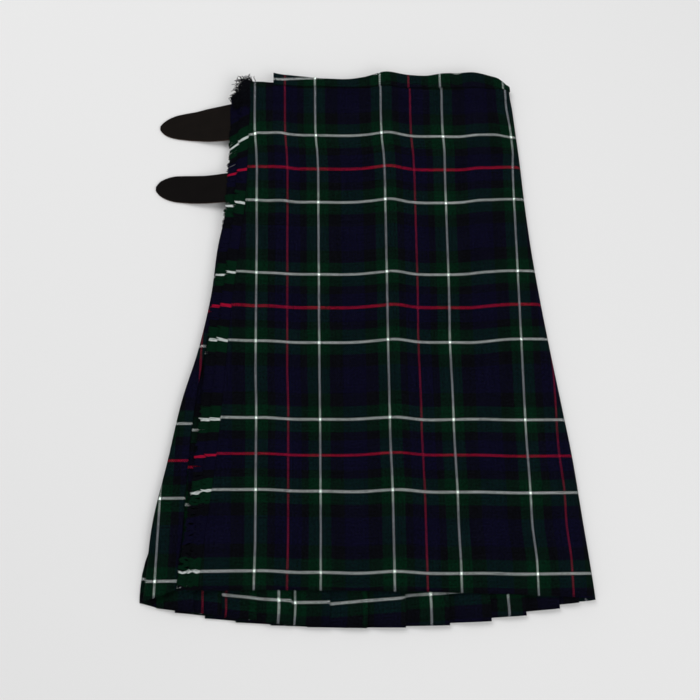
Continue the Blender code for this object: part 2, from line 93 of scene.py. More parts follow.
def smooth(a):
    # 3 a^2 - 2 a^3 between 0 and 1
    a = np.clip(a, 0.0, 1.0)
    return a * a * (3.0 - 2.0 * a)


def mix(a, b, t):
    # a at 0, b at 1, straight between
    return a + (b - a) * t


def curveThrough(keys, values, at):
    # cubic through the points: a + (b - a) s(t) + h t (1 - t) ((1 - t) m0 - t m1)
    keys = np.asarray(keys, float)
    values = np.asarray(values, float)
    if keys[0] > keys[-1]:
        keys, values = keys[::-1], values[::-1]
    at = np.clip(at, keys[0], keys[-1])
    i = np.clip(np.searchsorted(keys, at, side="right") - 1, 0, len(keys) - 2)
    chord = np.diff(values) / np.diff(keys)
    middle = (values[2:] - values[:-2]) / (keys[2:] - keys[:-2])
    slope = np.concatenate([chord[:1], middle, chord[-1:]])
    step = (keys[1:] - keys[:-1])[i]
    t = (at - keys[i]) / step
    bend = step * t * (1.0 - t) * ((1.0 - t) * slope[i] - t * slope[i + 1])
    return mix(values[i], values[i + 1], smooth(t)) + bend


def side(name, y):
    # one of the sides at heights y
    return curveThrough(sides["y"], sides[name], y)


def pleatLeft(y):
    # left side + inset + the sum of way s((start - y) / run) over the swings near the hem
    place = side("left", y) + kilt["pleatInset"]
    for way, start, run in kilt["pleatSwings"]:
        place = place + way * smooth((start - y) / run)
    return place


def stripWidth(y):
    # the pleated width shared out evenly
    return (side("right", y) - pleatLeft(y)) / kilt["pleats"]


def pleatX(k, y):
    # place across the garment of k strip widths past the first fold, as the strips are uneven
    return pleatLeft(y) + (k + curveThrough(pleatShifts["k"], pleatShifts["shift"], k)) * stripWidth(y)


def bandRise(y):
    # the cloth rises by one layer over the waistband under it
    return pitch * smooth((y - kilt["bandRiseFrom"]) / kilt["bandRiseRun"])


def softNoise(x, y, size, seed):
    # mean of five plane waves of about that size, turned by the seed, from -1 to 1
    waves = np.random.default_rng(seed).uniform(0.0, 1.0, (5, 3))
    total = 0.0
    for turn, stretch, start in waves:
        angle = 2.0 * math.pi * turn
        wave = size * (0.7 + 0.8 * stretch)
        along = x * math.cos(angle) + y * math.sin(angle)
        total = total + np.sin(2.0 * math.pi * (along / wave + start))
    return total / len(waves)


# node trees
def addNode(tree, kind, inputs=None, **settings):
    # inputs hold numbers or the sockets that they come from
    node = tree.nodes.new(kind)
    for name, value in settings.items():
        setattr(node, name, value)
    for key, value in (inputs or {}).items():
        if isinstance(value, bpy.types.NodeSocket):
            tree.links.new(value, node.inputs[key])
        else:
            node.inputs[key].default_value = value
    return node


def calc(tree, operation, a, b=0.0, c=0.0):
    # one step of arithmetic
    return addNode(tree, "ShaderNodeMath", {0: a, 1: b, 2: c}, operation=operation).outputs[0]


def blendColor(tree, factor, a, b, kind="MIX"):
    # colour a at factor 0, its blend with b at 1
    node = addNode(tree, "ShaderNodeMix", {0: factor, 6: a, 7: b}, data_type="RGBA", blend_type=kind)
    return node.outputs[2]


def addNoise(tree, place, scale, detail):
    # value of a noise from 0 to 1
    return addNode(tree, "ShaderNodeTexNoise", {"Vector": place, "Scale": scale, "Detail": detail}).outputs[0]


def addBump(tree, shader, height, strength, depth):
    # normals from the height
    bump = addNode(tree, "ShaderNodeBump", {"Height": height, "Strength": strength, "Distance": depth})
    tree.links.new(bump.outputs[0], shader.inputs["Normal"])


def newGroup(name, inputs, outputs):
    # the tree, its given sockets and its output node
    tree = bpy.data.node_groups.new(name, "ShaderNodeTree")
    kinds = {"vector": "NodeSocketVector", "value": "NodeSocketFloat", "color": "NodeSocketColor"}
    for label, kind, start in inputs:
        socket = tree.interface.new_socket(label, in_out="INPUT", socket_type=kinds[kind])
        if start is not None:
            socket.default_value = start
    for label, kind in outputs:
        tree.interface.new_socket(label, in_out="OUTPUT", socket_type=kinds[kind])
    return tree, tree.nodes.new("NodeGroupInput").outputs, tree.nodes.new("NodeGroupOutput")


# the tartan: stripes from the middle of the red line to the middle of the wide navy one
tartan = {
    "thread": 0.6,
    "warp": (("redWarp", 1.2), ("navy", 13.4), ("black", 8.2), ("green", 11.9), ("whiteWarp", 2.4),
             ("green", 11.3), ("black", 14.6), ("navy", 14.1)),
    "weft": (("redWeft", 1.5), ("navy", 15.3), ("black", 9.5), ("green", 13.5), ("whiteWeft", 3.0),
             ("green", 13.2), ("black", 14.5), ("navy", 15.4)),
    "redAcross": -90.1,          # where a red line runs up the over apron
    "redUp": 203.25,             # and where one runs across it
    "whiteOverGreen": (0.345, 0.400, 0.370, 1.0),
    "crossing": (0.90, 1.00, 0.92, 1.0),
    "whiteFrom": 0.1,            # green in a thread's colour from which it counts as white,
    "greenFrom": 0.008,          # and as green
    # scale of the noise across and up the cloth, and its strength
    "uneven": (((560.0, 560.0, 1.0), 3.4), ((560.0, 14.0, 1.0), 0.9), ((14.0, 560.0, 1.0), 0.9)),
    "leastUneven": 0.15,
    "colors": {
        "redWarp": (0.125, 0.006, 0.022, 1.0),
        "redWeft": (0.230, 0.003, 0.021, 1.0),
        "whiteWarp": (0.235, 0.250, 0.268, 1.0),
        "whiteWeft": (0.400, 0.430, 0.420, 1.0),
        "navy": (0.0023, 0.0021, 0.0098, 1.0),
        "black": (0.0018, 0.0020, 0.0032, 1.0),
        "green": (0.0008, 0.0110, 0.0045, 1.0),
    },
}


def stripeRamp(tree, position, sett):
    # constant ramp over half a repeat
    half = sum(width for _, width in sett)
    share = calc(tree, "DIVIDE", calc(tree, "PINGPONG", position, half), half)
    node = addNode(tree, "ShaderNodeValToRGB", {0: share})
    ramp = node.color_ramp
    ramp.interpolation = "CONSTANT"
    start = 0.0
    for i, (name, width) in enumerate(sett):
        stop = ramp.elements[0] if i == 0 else ramp.elements.new(start / half)
        stop.color = tartan["colors"][name]
        start += width
    ramp.elements.remove(ramp.elements[-1])
    return node.outputs[0]


def makeTartanGroup():
    # warp and weft threads by stripe, 2/2 twill between them, thread and rib heights
    tree, given, out = newGroup(
        "twillTartan", [("Cloth", "vector", None)],
        [("Color", "color"), ("Weft Color", "color"), ("Height", "value"), ("Rib", "value")])
    split = addNode(tree, "ShaderNodeSeparateXYZ", {0: given["Cloth"]}).outputs
    thread = tartan["thread"]
    across = calc(tree, "MULTIPLY", split[0], 1.0 / (thread * mm))
    along = calc(tree, "MULTIPLY", split[1], 1.0 / (thread * mm))
    warpThread = calc(tree, "FLOOR", across)
    weftThread = calc(tree, "FLOOR", along)
    warpAt = calc(tree, "MULTIPLY_ADD", warpThread, thread, -tartan["redAcross"])
    weftAt = calc(tree, "MULTIPLY_ADD", weftThread, thread, -tartan["redUp"])
    warp = stripeRamp(tree, warpAt, tartan["warp"])
    weft = stripeRamp(tree, weftAt, tartan["weft"])
    turn = calc(tree, "FLOORED_MODULO", calc(tree, "ADD", warpThread, weftThread), 4.0)
    over = calc(tree, "LESS_THAN", turn, 2.0)
    color = blendColor(tree, over, weft, warp)
    # white warp is brighter over green weft, and most where two white lines cross
    warpGreen = addNode(tree, "ShaderNodeSeparateColor", {0: warp}).outputs[1]
    weftGreen = addNode(tree, "ShaderNodeSeparateColor", {0: weft}).outputs[1]
    whiteWarp = calc(tree, "GREATER_THAN", warpGreen, tartan["whiteFrom"])
    greenWeft = calc(tree, "GREATER_THAN", weftGreen, tartan["greenFrom"])
    lit = calc(tree, "MULTIPLY", calc(tree, "MULTIPLY", whiteWarp, over), greenWeft)
    color = blendColor(tree, lit, color, tartan["whiteOverGreen"])
    whiteWeft = calc(tree, "GREATER_THAN", weftGreen, tartan["whiteFrom"])
    bothWhite = calc(tree, "MULTIPLY", whiteWarp, whiteWeft)
    color = blendColor(tree, bothWhite, color, tartan["crossing"])
    # uneven yarns: factor 1 + sum of k (noise - 1/2) of beads and of streaks along both threads
    uneven = 1.0 - 0.5 * sum(strength for _, strength in tartan["uneven"])
    for scale, strength in tartan["uneven"]:
        place = addNode(tree, "ShaderNodeMapping", {"Vector": given["Cloth"], "Scale": scale}).outputs[0]
        noise = addNoise(tree, place, 1.0, 2.0)
        uneven = calc(tree, "MULTIPLY_ADD", noise, strength, uneven)
    uneven = calc(tree, "MAXIMUM", uneven, tartan["leastUneven"])
    grey = addNode(tree, "ShaderNodeCombineColor", {0: uneven, 1: uneven, 2: uneven}).outputs[0]
    color = blendColor(tree, 1.0, color, grey, "MULTIPLY")
    roundAcross = calc(tree, "PINGPONG", across, 0.5)
    roundAlong = calc(tree, "PINGPONG", along, 0.5)
    height = addNode(tree, "ShaderNodeMix", {0: over, 2: roundAlong, 3: roundAcross}).outputs[0]
    rib = calc(tree, "PINGPONG", calc(tree, "ADD", across, along), 2.0)
    for key, value in {"Color": color, "Weft Color": weft, "Height": height, "Rib": rib}.items():
        tree.links.new(value, out.inputs[key])
    return tree


# the wool's surface
wool = {
    "patches": (28.0, 0.5, 0.75),     # scale of the noise, its strength and what that is added to
    "fibres": (900.0, 0.7, 0.65),
    "strayScale": 1500.0,
    "strayStretch": (1.0, 0.35, 1.0),
    "strayFrom": 0.67,
    "strayColor": (0.020, 0.022, 0.030, 1.0),
    "hairs": 0.25,                    # strength of the stray hairs
    "sheen": 0.01,
    "sheenSpread": 0.45,
    "specular": 0.02,
    "clothRough": 0.9,
    "ribRelief": 0.25,                # against the threads' own relief
    "napRelief": 0.4,
    "clothBump": (0.55, 0.00035),     # strength and depth in metres
    "yarnRough": 0.92,
    # painted light: the yarns' colour lifted to make up for their self-shadow
    "yarnShadeLift": (1.3, 1.3, 1.3, 1.0),
    "yarnBump": (0.6, 0.0004),
}


def makeWoolGroup():
    # soft shade changes of a woollen surface: broad patches, short fibres and stray light hairs
    tree, given, out = newGroup(
        "woolNap",
        [("Place", "vector", None), ("Color", "color", (0.5, 0.5, 0.5, 1.0)), ("Hairs", "value", 0.5)],
        [("Color", "color"), ("Height", "value")])
    patchScale, patchStrength, patchBase = wool["patches"]
    fibreScale, fibreStrength, fibreBase = wool["fibres"]
    broad = addNoise(tree, given["Place"], patchScale, 3.0)
    fibre = addNoise(tree, given["Place"], fibreScale, 3.0)
    light = calc(tree, "MULTIPLY_ADD", broad, patchStrength, patchBase)
    light = calc(tree, "MULTIPLY", light, calc(tree, "MULTIPLY_ADD", fibre, fibreStrength, fibreBase))
    grey = addNode(tree, "ShaderNodeCombineColor", {0: light, 1: light, 2: light}).outputs[0]
    shaded = blendColor(tree, 1.0, given["Color"], grey, "MULTIPLY")
    stretched = addNode(tree, "ShaderNodeMapping", {"Vector": given["Place"], "Scale": wool["strayStretch"]})
    stray = addNoise(tree, stretched.outputs[0], wool["strayScale"], 1.0)
    mask = calc(tree, "MULTIPLY", calc(tree, "GREATER_THAN", stray, wool["strayFrom"]), given["Hairs"])
    color = blendColor(tree, mask, shaded, wool["strayColor"])
    tree.links.new(color, out.inputs["Color"])
    tree.links.new(fibre, out.inputs["Height"])
    return tree


def newMaterial(name, roughness, sheen, specular):
    # the material, its nodes and its shader
    material = bpy.data.materials.new(name)
    material.use_nodes = True
    tree = material.node_tree
    shader = tree.nodes["Principled BSDF"]
    shader.inputs["Roughness"].default_value = roughness
    shader.inputs["Sheen Weight"].default_value = sheen
    shader.inputs["Sheen Roughness"].default_value = wool["sheenSpread"]
    shader.inputs["Specular IOR Level"].default_value = specular
    return material, tree, shader


tartanGroup = makeTartanGroup()
woolGroup = makeWoolGroup()


def clothColors(tree):
    # the tartan at each place of the flat cloth
    place = addNode(tree, "ShaderNodeUVMap", uv_map="cloth").outputs[0]
    weave = addNode(tree, "ShaderNodeGroup", {"Cloth": place}, node_tree=tartanGroup).outputs
    return place, weave


def addNap(tree, shader, place, color):
    # the woollen surface over a colour, and its height
    given = {"Place": place, "Color": color, "Hairs": wool["hairs"]}
    nap = addNode(tree, "ShaderNodeGroup", given, node_tree=woolGroup).outputs
    tree.links.new(nap["Color"], shader.inputs["Base Color"])
    return nap["Height"]


def makeClothMaterial(name):
    # relief = thread + rib k + nap k
    material, tree, shader = newMaterial(name, wool["clothRough"], wool["sheen"], wool["specular"])
    place, weave = clothColors(tree)
    nap = addNap(tree, shader, place, weave["Color"])
    relief = calc(tree, "MULTIPLY_ADD", weave["Rib"], wool["ribRelief"], weave["Height"])
    relief = calc(tree, "MULTIPLY_ADD", nap, wool["napRelief"], relief)
    addBump(tree, shader, relief, *wool["clothBump"])
    return material


def makeYarnMaterial():
    # the colour of the weft at the yarn's height, a little brighter: painted light that makes up for the
    # round yarns' own shade
    material, tree, shader = newMaterial("looseWeftYarn", wool["yarnRough"], wool["sheen"], wool["specular"])
    _, weave = clothColors(tree)
    solid = addNode(tree, "ShaderNodeTexCoord").outputs["Object"]
    shadeLiftedWeft = blendColor(tree, 1.0, weave["Weft Color"], wool["yarnShadeLift"], "MULTIPLY")
    addBump(tree, shader, addNap(tree, shader, solid, shadeLiftedWeft), *wool["yarnBump"])
    return material


clothMaterial = makeClothMaterial("tartanWool")
bandMaterial = makeClothMaterial("tartanWoolBand")
yarnMaterial = makeYarnMaterial()
print("cloth materials made")


# meshes from grids
def gridMesh(name, points, cloth, material):
    # rows by columns of points in millimetres, cloth holds each point's place in the flat cloth
    rows, columns = points.shape[:2]
    index = np.arange(rows * columns).reshape(rows, columns)
    quads = np.stack([index[:-1, :-1], index[:-1, 1:], index[1:, 1:], index[1:, :-1]], axis=-1)
    mesh = bpy.data.meshes.new(name)
    mesh.from_pydata((points.reshape(-1, 3) * mm).tolist(), [], quads.reshape(-1, 4).tolist())
    putCloth(mesh, cloth.reshape(-1, 2))
    return makePiece(mesh, material)


def makePiece(mesh, material):
    # an object at the origin, named as its mesh
    mesh.materials.append(material)
    mesh.shade_smooth()
    piece = bpy.data.objects.new(mesh.name, mesh)
    bpy.context.scene.collection.objects.link(piece)
    return piece


def putCloth(mesh, cloth):
    # UV map in metres of flat cloth
    corners = np.empty(len(mesh.loops), np.int32)
    mesh.loops.foreach_get("vertex_index", corners)
    layer = mesh.uv_layers.new(name="cloth")
    layer.data.foreach_set("uv", (cloth[corners] * mm).astype(np.float32).ravel())


def thicken(piece, thickness):
    # half of the thickness on each side of the grid
    wall = piece.modifiers.new("wall", "SOLIDIFY")
    wall.thickness = thickness * mm
    wall.offset = 0.0
    wall.use_even_offset = True
    return wall


def turnedEdge(cx, cz, rx, rz, start, end, share):
    # ellipse arc: c + r (cos a, sin a), a from start to end in degrees
    a = np.radians(mix(start, end, share))
    return cx + rx * np.cos(a), cz + rz * np.sin(a)


def lengthAlong(x, z):
    # running length of each row's path across the garment
    step = np.hypot(np.diff(x, axis=1), np.diff(z, axis=1))
    return np.concatenate([np.zeros((len(x), 1)), np.cumsum(step, axis=1)], axis=1)


# over apron
overApron = {
    "rows": 150,
    "seamColumns": 4,
    "rollColumns": 22,
    "topColumns": 170,
    "hem": -287.0,
    "hemDrop": 13.7,             # how far the hem falls
    "hemHigh": -203.0,           # from its highest place
    "hemWay": 452.0,             # over this way
    "top": 315.0,
    "rawTop": 309.8,
    "rawEnd": (-106.0, 8.0),     # where the raw top edge gives way to the banded one, and its run
    "corner": 6.0,               # how far the top right corner is rounded down
    "cornerAt": (158.0, 20.0),
    "fringeInset": 0.6,
    "uneven": (0.35, 120.0, 5),  # of the surface: height, size and seed
    "hemWave": (0.7, 60.0, 11),
    "hemWaveRun": 14.0,
    "calmRoll": 0.6,             # share of the rolled side that stays even
    # what the apron climbs over, from the left of a place and over a run
    "overPleat": {"more": 0.2, "from": 44.0, "run": 20.0},
    "overStraps": {"height": 2.9, "from": -76.0, "run": 20.0, "low": (112.0, 35.0), "high": (284.0, 16.0)},
    "overBacking": {"from": 26.0, "run": 12.0},
    # long ridges: place across, lean per millimetre up, width, height, start up the garment, run
    "ridges": ((38.0, -0.022, 15.0, 6.0, -900.0, 100.0), (140.0, -0.010, 14.0, 4.5, -40.0, 170.0),
               (-60.0, 0.030, 24.0, 1.4, -330.0, 200.0), (96.0, 0.020, 20.0, 1.6, -330.0, 120.0)),
    # soft creases: both ends, width, height
    "creases": ((-92, 300, -70, 205, 9, 0.9), (70, 312, 92, 214, 8, 1.0), (-20, 306, -8, 250, 10, 0.7),
                (168, 296, 150, 236, 7, 0.9), (-120, 60, -96, -30, 13, 0.8), (-30, -60, 24, -106, 14, 0.9),
                (118, -150, 178, -196, 12, 1.0), (60, 40, 128, 8, 12, 0.8), (-104, -214, -60, -262, 11, 0.8),
                (196, 60, 188, -40, 9, 0.8), (10, -236, 62, -262, 12, 0.7), (-64, 140, -12, 118, 13, 0.7)),
}


def overZ(x, y):
    # the under apron's height, plus soft steps over the side pleat, the straps and the fringe's
    # backing, plus gaussian ridges
    pleat, strap, backing = overApron["overPleat"], overApron["overStraps"], overApron["overBacking"]
    z = underZ + pitch + 2.0 * bandRise(y)
    z = z + (2 * pitch + pleat["more"]) * smooth((side("fold", y) + pleat["from"] - x) / pleat["run"])
    (low, lowRun), (high, highRun) = strap["low"], strap["high"]
    reach = smooth((y - low) / lowRun) * (1.0 - smooth((y - high) / highRun))
    z = z + strap["height"] * reach * smooth((strap["from"] - x) / strap["run"])
    z = z + pitch * smooth((side("fringe", y) + backing["from"] - x) / backing["run"])
    for place, lean, width, height, start, run in overApron["ridges"]:
        z = z + height * np.exp(-((x - place - lean * y) / width) ** 2) * smooth((y - start) / run)
    return z


def apronCreases(x, y):
    # gaussian across each crease's line, fading at its ends
    total = 0.0
    for x0, y0, x1, y1, width, height in overApron["creases"]:
        length = math.hypot(x1 - x0, y1 - y0)
        along = ((x - x0) * (x1 - x0) + (y - y0) * (y1 - y0)) / length
        off = ((x - x0) * (y1 - y0) - (y - y0) * (x1 - x0)) / length
        ends = smooth(along / (0.45 * length)) * smooth((length - along) / (0.45 * length))
        total = total + height * np.exp(-(off / width) ** 2) * ends
    return total


def apronHem(x):
    # parabola that falls from its highest place
    return overApron["hem"] - overApron["hemDrop"] * ((x - overApron["hemHigh"]) / overApron["hemWay"]) ** 2


def hemArc(x):
    # parabola with a tilt, and soft steps at both ends
    rise = kilt["hemLeftRise"] * smooth((kilt["hemLeft"] - x) / kilt["hemEndRun"])
    rise = rise - kilt["hemRightDrop"] * smooth((x - kilt["hemRight"]) / kilt["hemEndRun"])
    return kilt["arcLow"] + kilt["arcRise"] * (x / kilt["arcHalf"]) ** 2 + kilt["hemTilt"] * x + rise


def stripHem(strip, x):
    # straight line through the arc at the strip's middle, with a share of its slope
    middle = pleatX(strip - 0.5, kilt["hemNear"])
    slope = kilt["hemFollow"] * (2.0 * kilt["arcRise"] * middle / kilt["arcHalf"] ** 2 + kilt["hemTilt"])
    hem = hemArc(middle) + slope * (x - middle)
    return hem + kilt["firstRise"] * np.maximum(0.0, middle - x) * (strip == 1)


def apronPath(y, shift, seam, roll, top):
    # under side from the seam, rolled right side, then the top to the fringe; the three last
    # arguments hold each column's share of its stretch, and y has a column for each
    cut = np.cumsum([len(seam), len(roll)])
    ys, yr, yt = np.split(y, cut, axis=1)

    def edges(y):
        right = side("right", y) - kilt["cloth"] / 2 - bandRise(y)
        return right, right - kilt["rightRoll"] * stripWidth(y), floorLayer + bandRise(y) - shift

    right, turn, low = edges(ys)
    start = side("right", ys) - kilt["seamAt"] * stripWidth(ys) + kilt["gap"]
    seamX, seamZ = mix(start, turn, seam), low
    right, turn, low = edges(yr)
    high = overZ(turn, yr) + shift
    rollX, rollZ = turnedEdge(turn, (low + high) / 2, right + shift - turn, (high - low) / 2, -90, 90, roll)
    right, turn, low = edges(yt)
    topX = mix(turn, side("fringe", yt) + overApron["fringeInset"], top)
    topZ = overZ(topX, yt) + shift
    return np.concatenate([seamX, rollX, topX], axis=1), np.concatenate([seamZ, rollZ, topZ], axis=1)


# how far the check has drifted from its even grid, in millimetres across and up: an amount, and
# the soft steps that limit it. A step starts at a place across ("x") or up ("y") and has a run,
# less than nothing where it goes to the left or down. A hill has its middle and half width.
checkDrift = {
    "across": (
        (1.0,),
        (-2.2, ("x", -30.0, 60.0)),
        (1.0, ("x", 120.0, 50.0)),
        (-3.2, ("y", 190.0, 50.0), ("x", 130.0, -80.0)),
        (3.4, ("y", -215.0, -50.0), ("x", 60.0, 110.0)),
        (1.6, ("y", -110.0, -80.0), ("x", 0.0, 30.0)),
        (2.8, ("y", -130.0, -60.0), ("x", 190.0, 30.0)),
        (-1.3, ("y", -10.0, 40.0, "hill"), ("x", 82.0, 40.0, "hill")),
        (1.2, ("y", -40.0, -50.0), ("x", -40.0, -30.0), ("y", -290.0, 60.0)),
        (1.3, ("y", 225.0, 18.0, "hill")),
        (-5.0, ("y", 245.0, 55.0), ("x", 150.0, 20.0)),
    ),
    "up": (
        (-2.2,),
        (2.6, ("x", -70.0, -50.0)),
        (3.2, ("x", 28.0, 30.0, "hill")),
        (4.4, ("x", 120.0, 55.0), ("y", -90.0, 60.0)),
        (-1.6, ("x", 120.0, 55.0), ("y", -40.0, -60.0)),
        (3.2, ("y", -100.0, -120.0), ("x", 20.0, -80.0)),
        (-2.8, ("x", -95.0, -25.0), ("y", 110.0, 40.0)),
        (-2.6, ("x", -122.0, -12.0), ("y", 195.0, 30.0), ("y", 300.0, -30.0)),
        (-2.2, ("y", 118.0, 65.0, "hill"), ("x", 130.0, -30.0)),
        (-1.8, ("y", -99.0, 25.0, "hill"), ("x", 55.0, 60.0, "hill")),
        (-3.6, ("x", 160.0, 22.0), ("y", 215.0, 25.0)),
        (1.0, ("y", 210.0, 35.0)),
    ),
}


def lineShift(x, y, way):
    # sum of the amounts, each times its steps s((a - place) / run) and hills exp(-((a - place) / run)^2)
    total = 0.0
    for amount, *limits in checkDrift[way]:
        part = amount
        for axis, place, run, *hill in limits:
            a = ((x if axis == "x" else y) - place) / run
            part = part * (np.exp(-a ** 2) if hill else smooth(a))
        total = total + part
    return total


def makeOverApron():
    # grid between hem and top over the apron's path, plus creases and a soft noise on the upper side
    seam = np.linspace(0.0, 1.0, overApron["seamColumns"], endpoint=False)
    roll = np.linspace(0.0, 1.0, overApron["rollColumns"], endpoint=False)
    top = np.linspace(0.0, 1.0, overApron["topColumns"])
    columns = len(seam) + len(roll) + len(top)
    hemX, _ = apronPath(np.full((1, columns), overApron["hem"]), 0.0, seam, roll, top)
    topX, _ = apronPath(np.full((1, columns), overApron["top"]), 0.0, seam, roll, top)
    low = apronHem(hemX)
    seamX = pleatLeft(kilt["hemNear"]) + (kilt["pleats"] - kilt["seamAt"]) * stripWidth(kilt["hemNear"])
    share = np.concatenate([seam * 0.0, roll, top * 0.0 + 1.0])
    low = mix(stripHem(kilt["pleats"], seamX), low, share)
    (rawEnd, rawRun), (cornerAt, cornerRun) = overApron["rawEnd"], overApron["cornerAt"]
    high = overApron["rawTop"] + (overApron["top"] - overApron["rawTop"]) * smooth((topX - rawEnd) / rawRun)
    high = high - overApron["corner"] * smooth((topX - cornerAt) / cornerRun)
    v = np.linspace(0.0, 1.0, overApron["rows"])[:, None]
    y = mix(low, high, v)
    x, z = apronPath(y, 0.0, seam, roll, top)
    calm = overApron["calmRoll"]
    upper = np.concatenate([seam * 0.0, smooth(roll * (1.0 + calm) - calm), top * 0.0 + 1.0])
    height, size, seed = overApron["uneven"]
    z = z + upper * (apronCreases(x, y) + height * (1.0 + softNoise(x, y, size, seed)))
    height, size, seed = overApron["hemWave"]
    hemRun = overApron["hemWaveRun"]
    y = y + height * softNoise(x, y, size, seed) * smooth((low + hemRun - y) / hemRun)
    run = lengthAlong(x, z)
    turn = len(seam) + len(roll)
    u = np.where(np.arange(columns) < turn, x[:, turn:turn + 1] + run[:, turn:turn + 1] - run, x)
    cloth = np.stack([u - lineShift(u, y, "across"), y - lineShift(u, y, "up")], -1)
    piece = gridMesh("overApronCloth", np.stack([x, y, z], -1), cloth, clothMaterial)
    thicken(piece, kilt["cloth"])
    return piece


overApronPiece = makeOverApron()
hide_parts("over_apron")
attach(overApronPiece, "root")
print("over apron made")


# under apron, with the rolled left side and the side pleat that shows left of the fringe
underApron = {
    "rows": 90,
    # tucked layer, roll, pleat, fold, back, fold, then the flat apron in two stretches
    "columns": (6, 20, 36, 9, 24, 8, 16, 90),
    # hem heights where those stretches start, and at the end
    "hems": (None, -298.0, -296.5, -286.5, -286.5, -289.0, -286.5, -281.5, -293.0),
    "endInset": 34.0,            # of its hidden end from the right side
    "sideSwell": 1.5,            # of the rolled side over the waistband, in layers
    "pleatSwell": 0.3,
    "lean": 0.035,               # of the side pleat's lines, from this height
    "leanFrom": -190.0,
    "drop": 6.3,                 # of its lines below the over apron's
    "flatDrop": 13.3,            # and of the flat apron's
    "pleatAcross": 102.5,        # from the place of a line on the pleat to its place in the check
    "flatAcross": 157.0,
}


def makeUnderApron():
    # grid between hem and top over a path of straight stretches, half ellipses and half circles
    stretches = []
    stretchOf = []               # of each column
    for i, count in enumerate(underApron["columns"]):
        last = i == len(underApron["columns"]) - 1
        stretches.append(np.linspace(0.0, 1.0, count, endpoint=last))
        stretchOf += [i] * count
    near = kilt["hemNear"]
    hems = list(underApron["hems"])
    hems[0] = stripHem(1, pleatLeft(near) + kilt["leftSeamAt"] * stripWidth(near))
    low = np.concatenate([mix(hems[i], hems[i + 1], t) for i, t in enumerate(stretches)])
    v = np.linspace(0.0, 1.0, underApron["rows"])[:, None]
    y = mix(low, kilt["layerTop"], v)
    parts = []
    yParts = np.split(y, np.cumsum([len(t) for t in stretches])[:-1], axis=1)
    for kind, (t, yPart) in enumerate(zip(stretches, yParts)):
        rise = bandRise(yPart)
        left = side("left", yPart) + kilt["cloth"] / 2 + underApron["sideSwell"] * rise
        fold = side("fold", yPart)
        bottom = floorLayer + 2 * pitch + rise
        top = foldTopZ + rise
        inner = left + kilt["sideRoll"]
        seam = pleatLeft(yPart) + kilt["leftSeamAt"] * stripWidth(yPart) - kilt["gap"]
        end = side("right", yPart) - underApron["endInset"]
        half = pitch / 2
        if kind == 0:
            parts.append((mix(seam, inner, t), bottom))
        elif kind == 1:
            middle, height = (bottom + top) / 2, (top - bottom) / 2
            parts.append(turnedEdge(inner, middle, kilt["sideRoll"], height, -90, -270, t))
        elif kind == 2:
            parts.append((mix(inner, fold - half, t), top + underApron["pleatSwell"] * np.sin(math.pi * t)))
        elif kind == 3:
            parts.append(turnedEdge(fold - half, top - half, half, half, 90, -90, t))
        elif kind == 4:
            parts.append((mix(fold - half, inner, t), top - pitch))
        elif kind == 5:
            parts.append(turnedEdge(inner, top - 1.5 * pitch, half, half, 90, 270, t))
        else:
            begin, stop = (inner, fold) if kind == 6 else (fold, end)
            parts.append((mix(begin, stop, t), top - 2 * pitch + 0.0 * t))
    x = np.concatenate([np.broadcast_to(p[0], (len(y), np.shape(p[0])[-1])) for p in parts], axis=1)
    z = np.concatenate([np.broadcast_to(p[1], p[0].shape) for p in parts], axis=1)
    stretchOf = np.array(stretchOf)
    edge = int(np.argmax(stretchOf == 3))    # where the side pleat meets its fold
    run = lengthAlong(x, z)
    u = run - run[:, edge:edge + 1] + x[:, edge:edge + 1] - underApron["lean"] * (y - underApron["leanFrom"])
    u = np.where(stretchOf <= 4, u + underApron["pleatAcross"], x + underApron["flatAcross"])
    lift = np.where(stretchOf <= 4, underApron["drop"], underApron["flatDrop"])
    piece = gridMesh("underApronCloth", np.stack([x, y, z], -1), np.stack([u, y + lift], -1), clothMaterial)
    thicken(piece, kilt["cloth"])
    return piece


underApronPiece = makeUnderApron()
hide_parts("under_apron")
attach(underApronPiece, "root")
print("under apron made")


# pleated back
pleatedBack = {
    "rows": 34,
    "depth": 1.5,                # of a pleat, in widths of its strip
    "slopeRun": 0.36,
    "foldClear": 2.0,
    "pullRun": 0.3,
    "rowCrowding": 1.25,         # rows lie closer near the hem
    "lastFold": 0.55,
    "whiteRow": -181.65,         # place of their white line in the check
    "outColumns": 22,
    "backColumns": 12,
    "foldColumns": 5,
    # for each strip seen past the hem: the stripe at its fold, counted from a red line, the
    # height of its white line at the fold's side, and that line's rise to the left
    "strips": ((77, -281, -0.12), (-17.1, -285.5, 0.12), (-30.2, -295.8, 0.115), (25, -299, 0.07),
               (-70.4, -301.2, 0.0), (45, -300.2, -0.085), (60, -297.7, -0.07), (19, -293.2, -0.055),
               (55, -290.6, -0.05), (20.6, -285, 0.0), (70, -285, 0.0), (50, -284, 0.0), (-66, -284, 0.0),
               (10, -284, 0.0)),
}


def layerLevel(strip, k):
    # a layer climbs by two pitches over each later fold, over the run before it
    level = 0.0
    run = pleatedBack["slopeRun"]
    for fold in range(strip + 1, kilt["pleats"] + 1):
        level = level + 2 * pitch * smooth((k - (fold - 1) + run) / run)
    return level


def foldPull(strip, k):
    # the layer is pulled left where it climbs
    pull = 0.0
    run = pleatedBack["pullRun"]
    for fold in range(max(strip, 1) + 1, kilt["pleats"] + 1):
        start = fold - 1 - pleatedBack["slopeRun"]
        climbing = smooth((k - start + run) / run) * smooth((fold - 1 + run - k) / run)
        pull = pull - pleatedBack["foldClear"] * climbing
    return pull


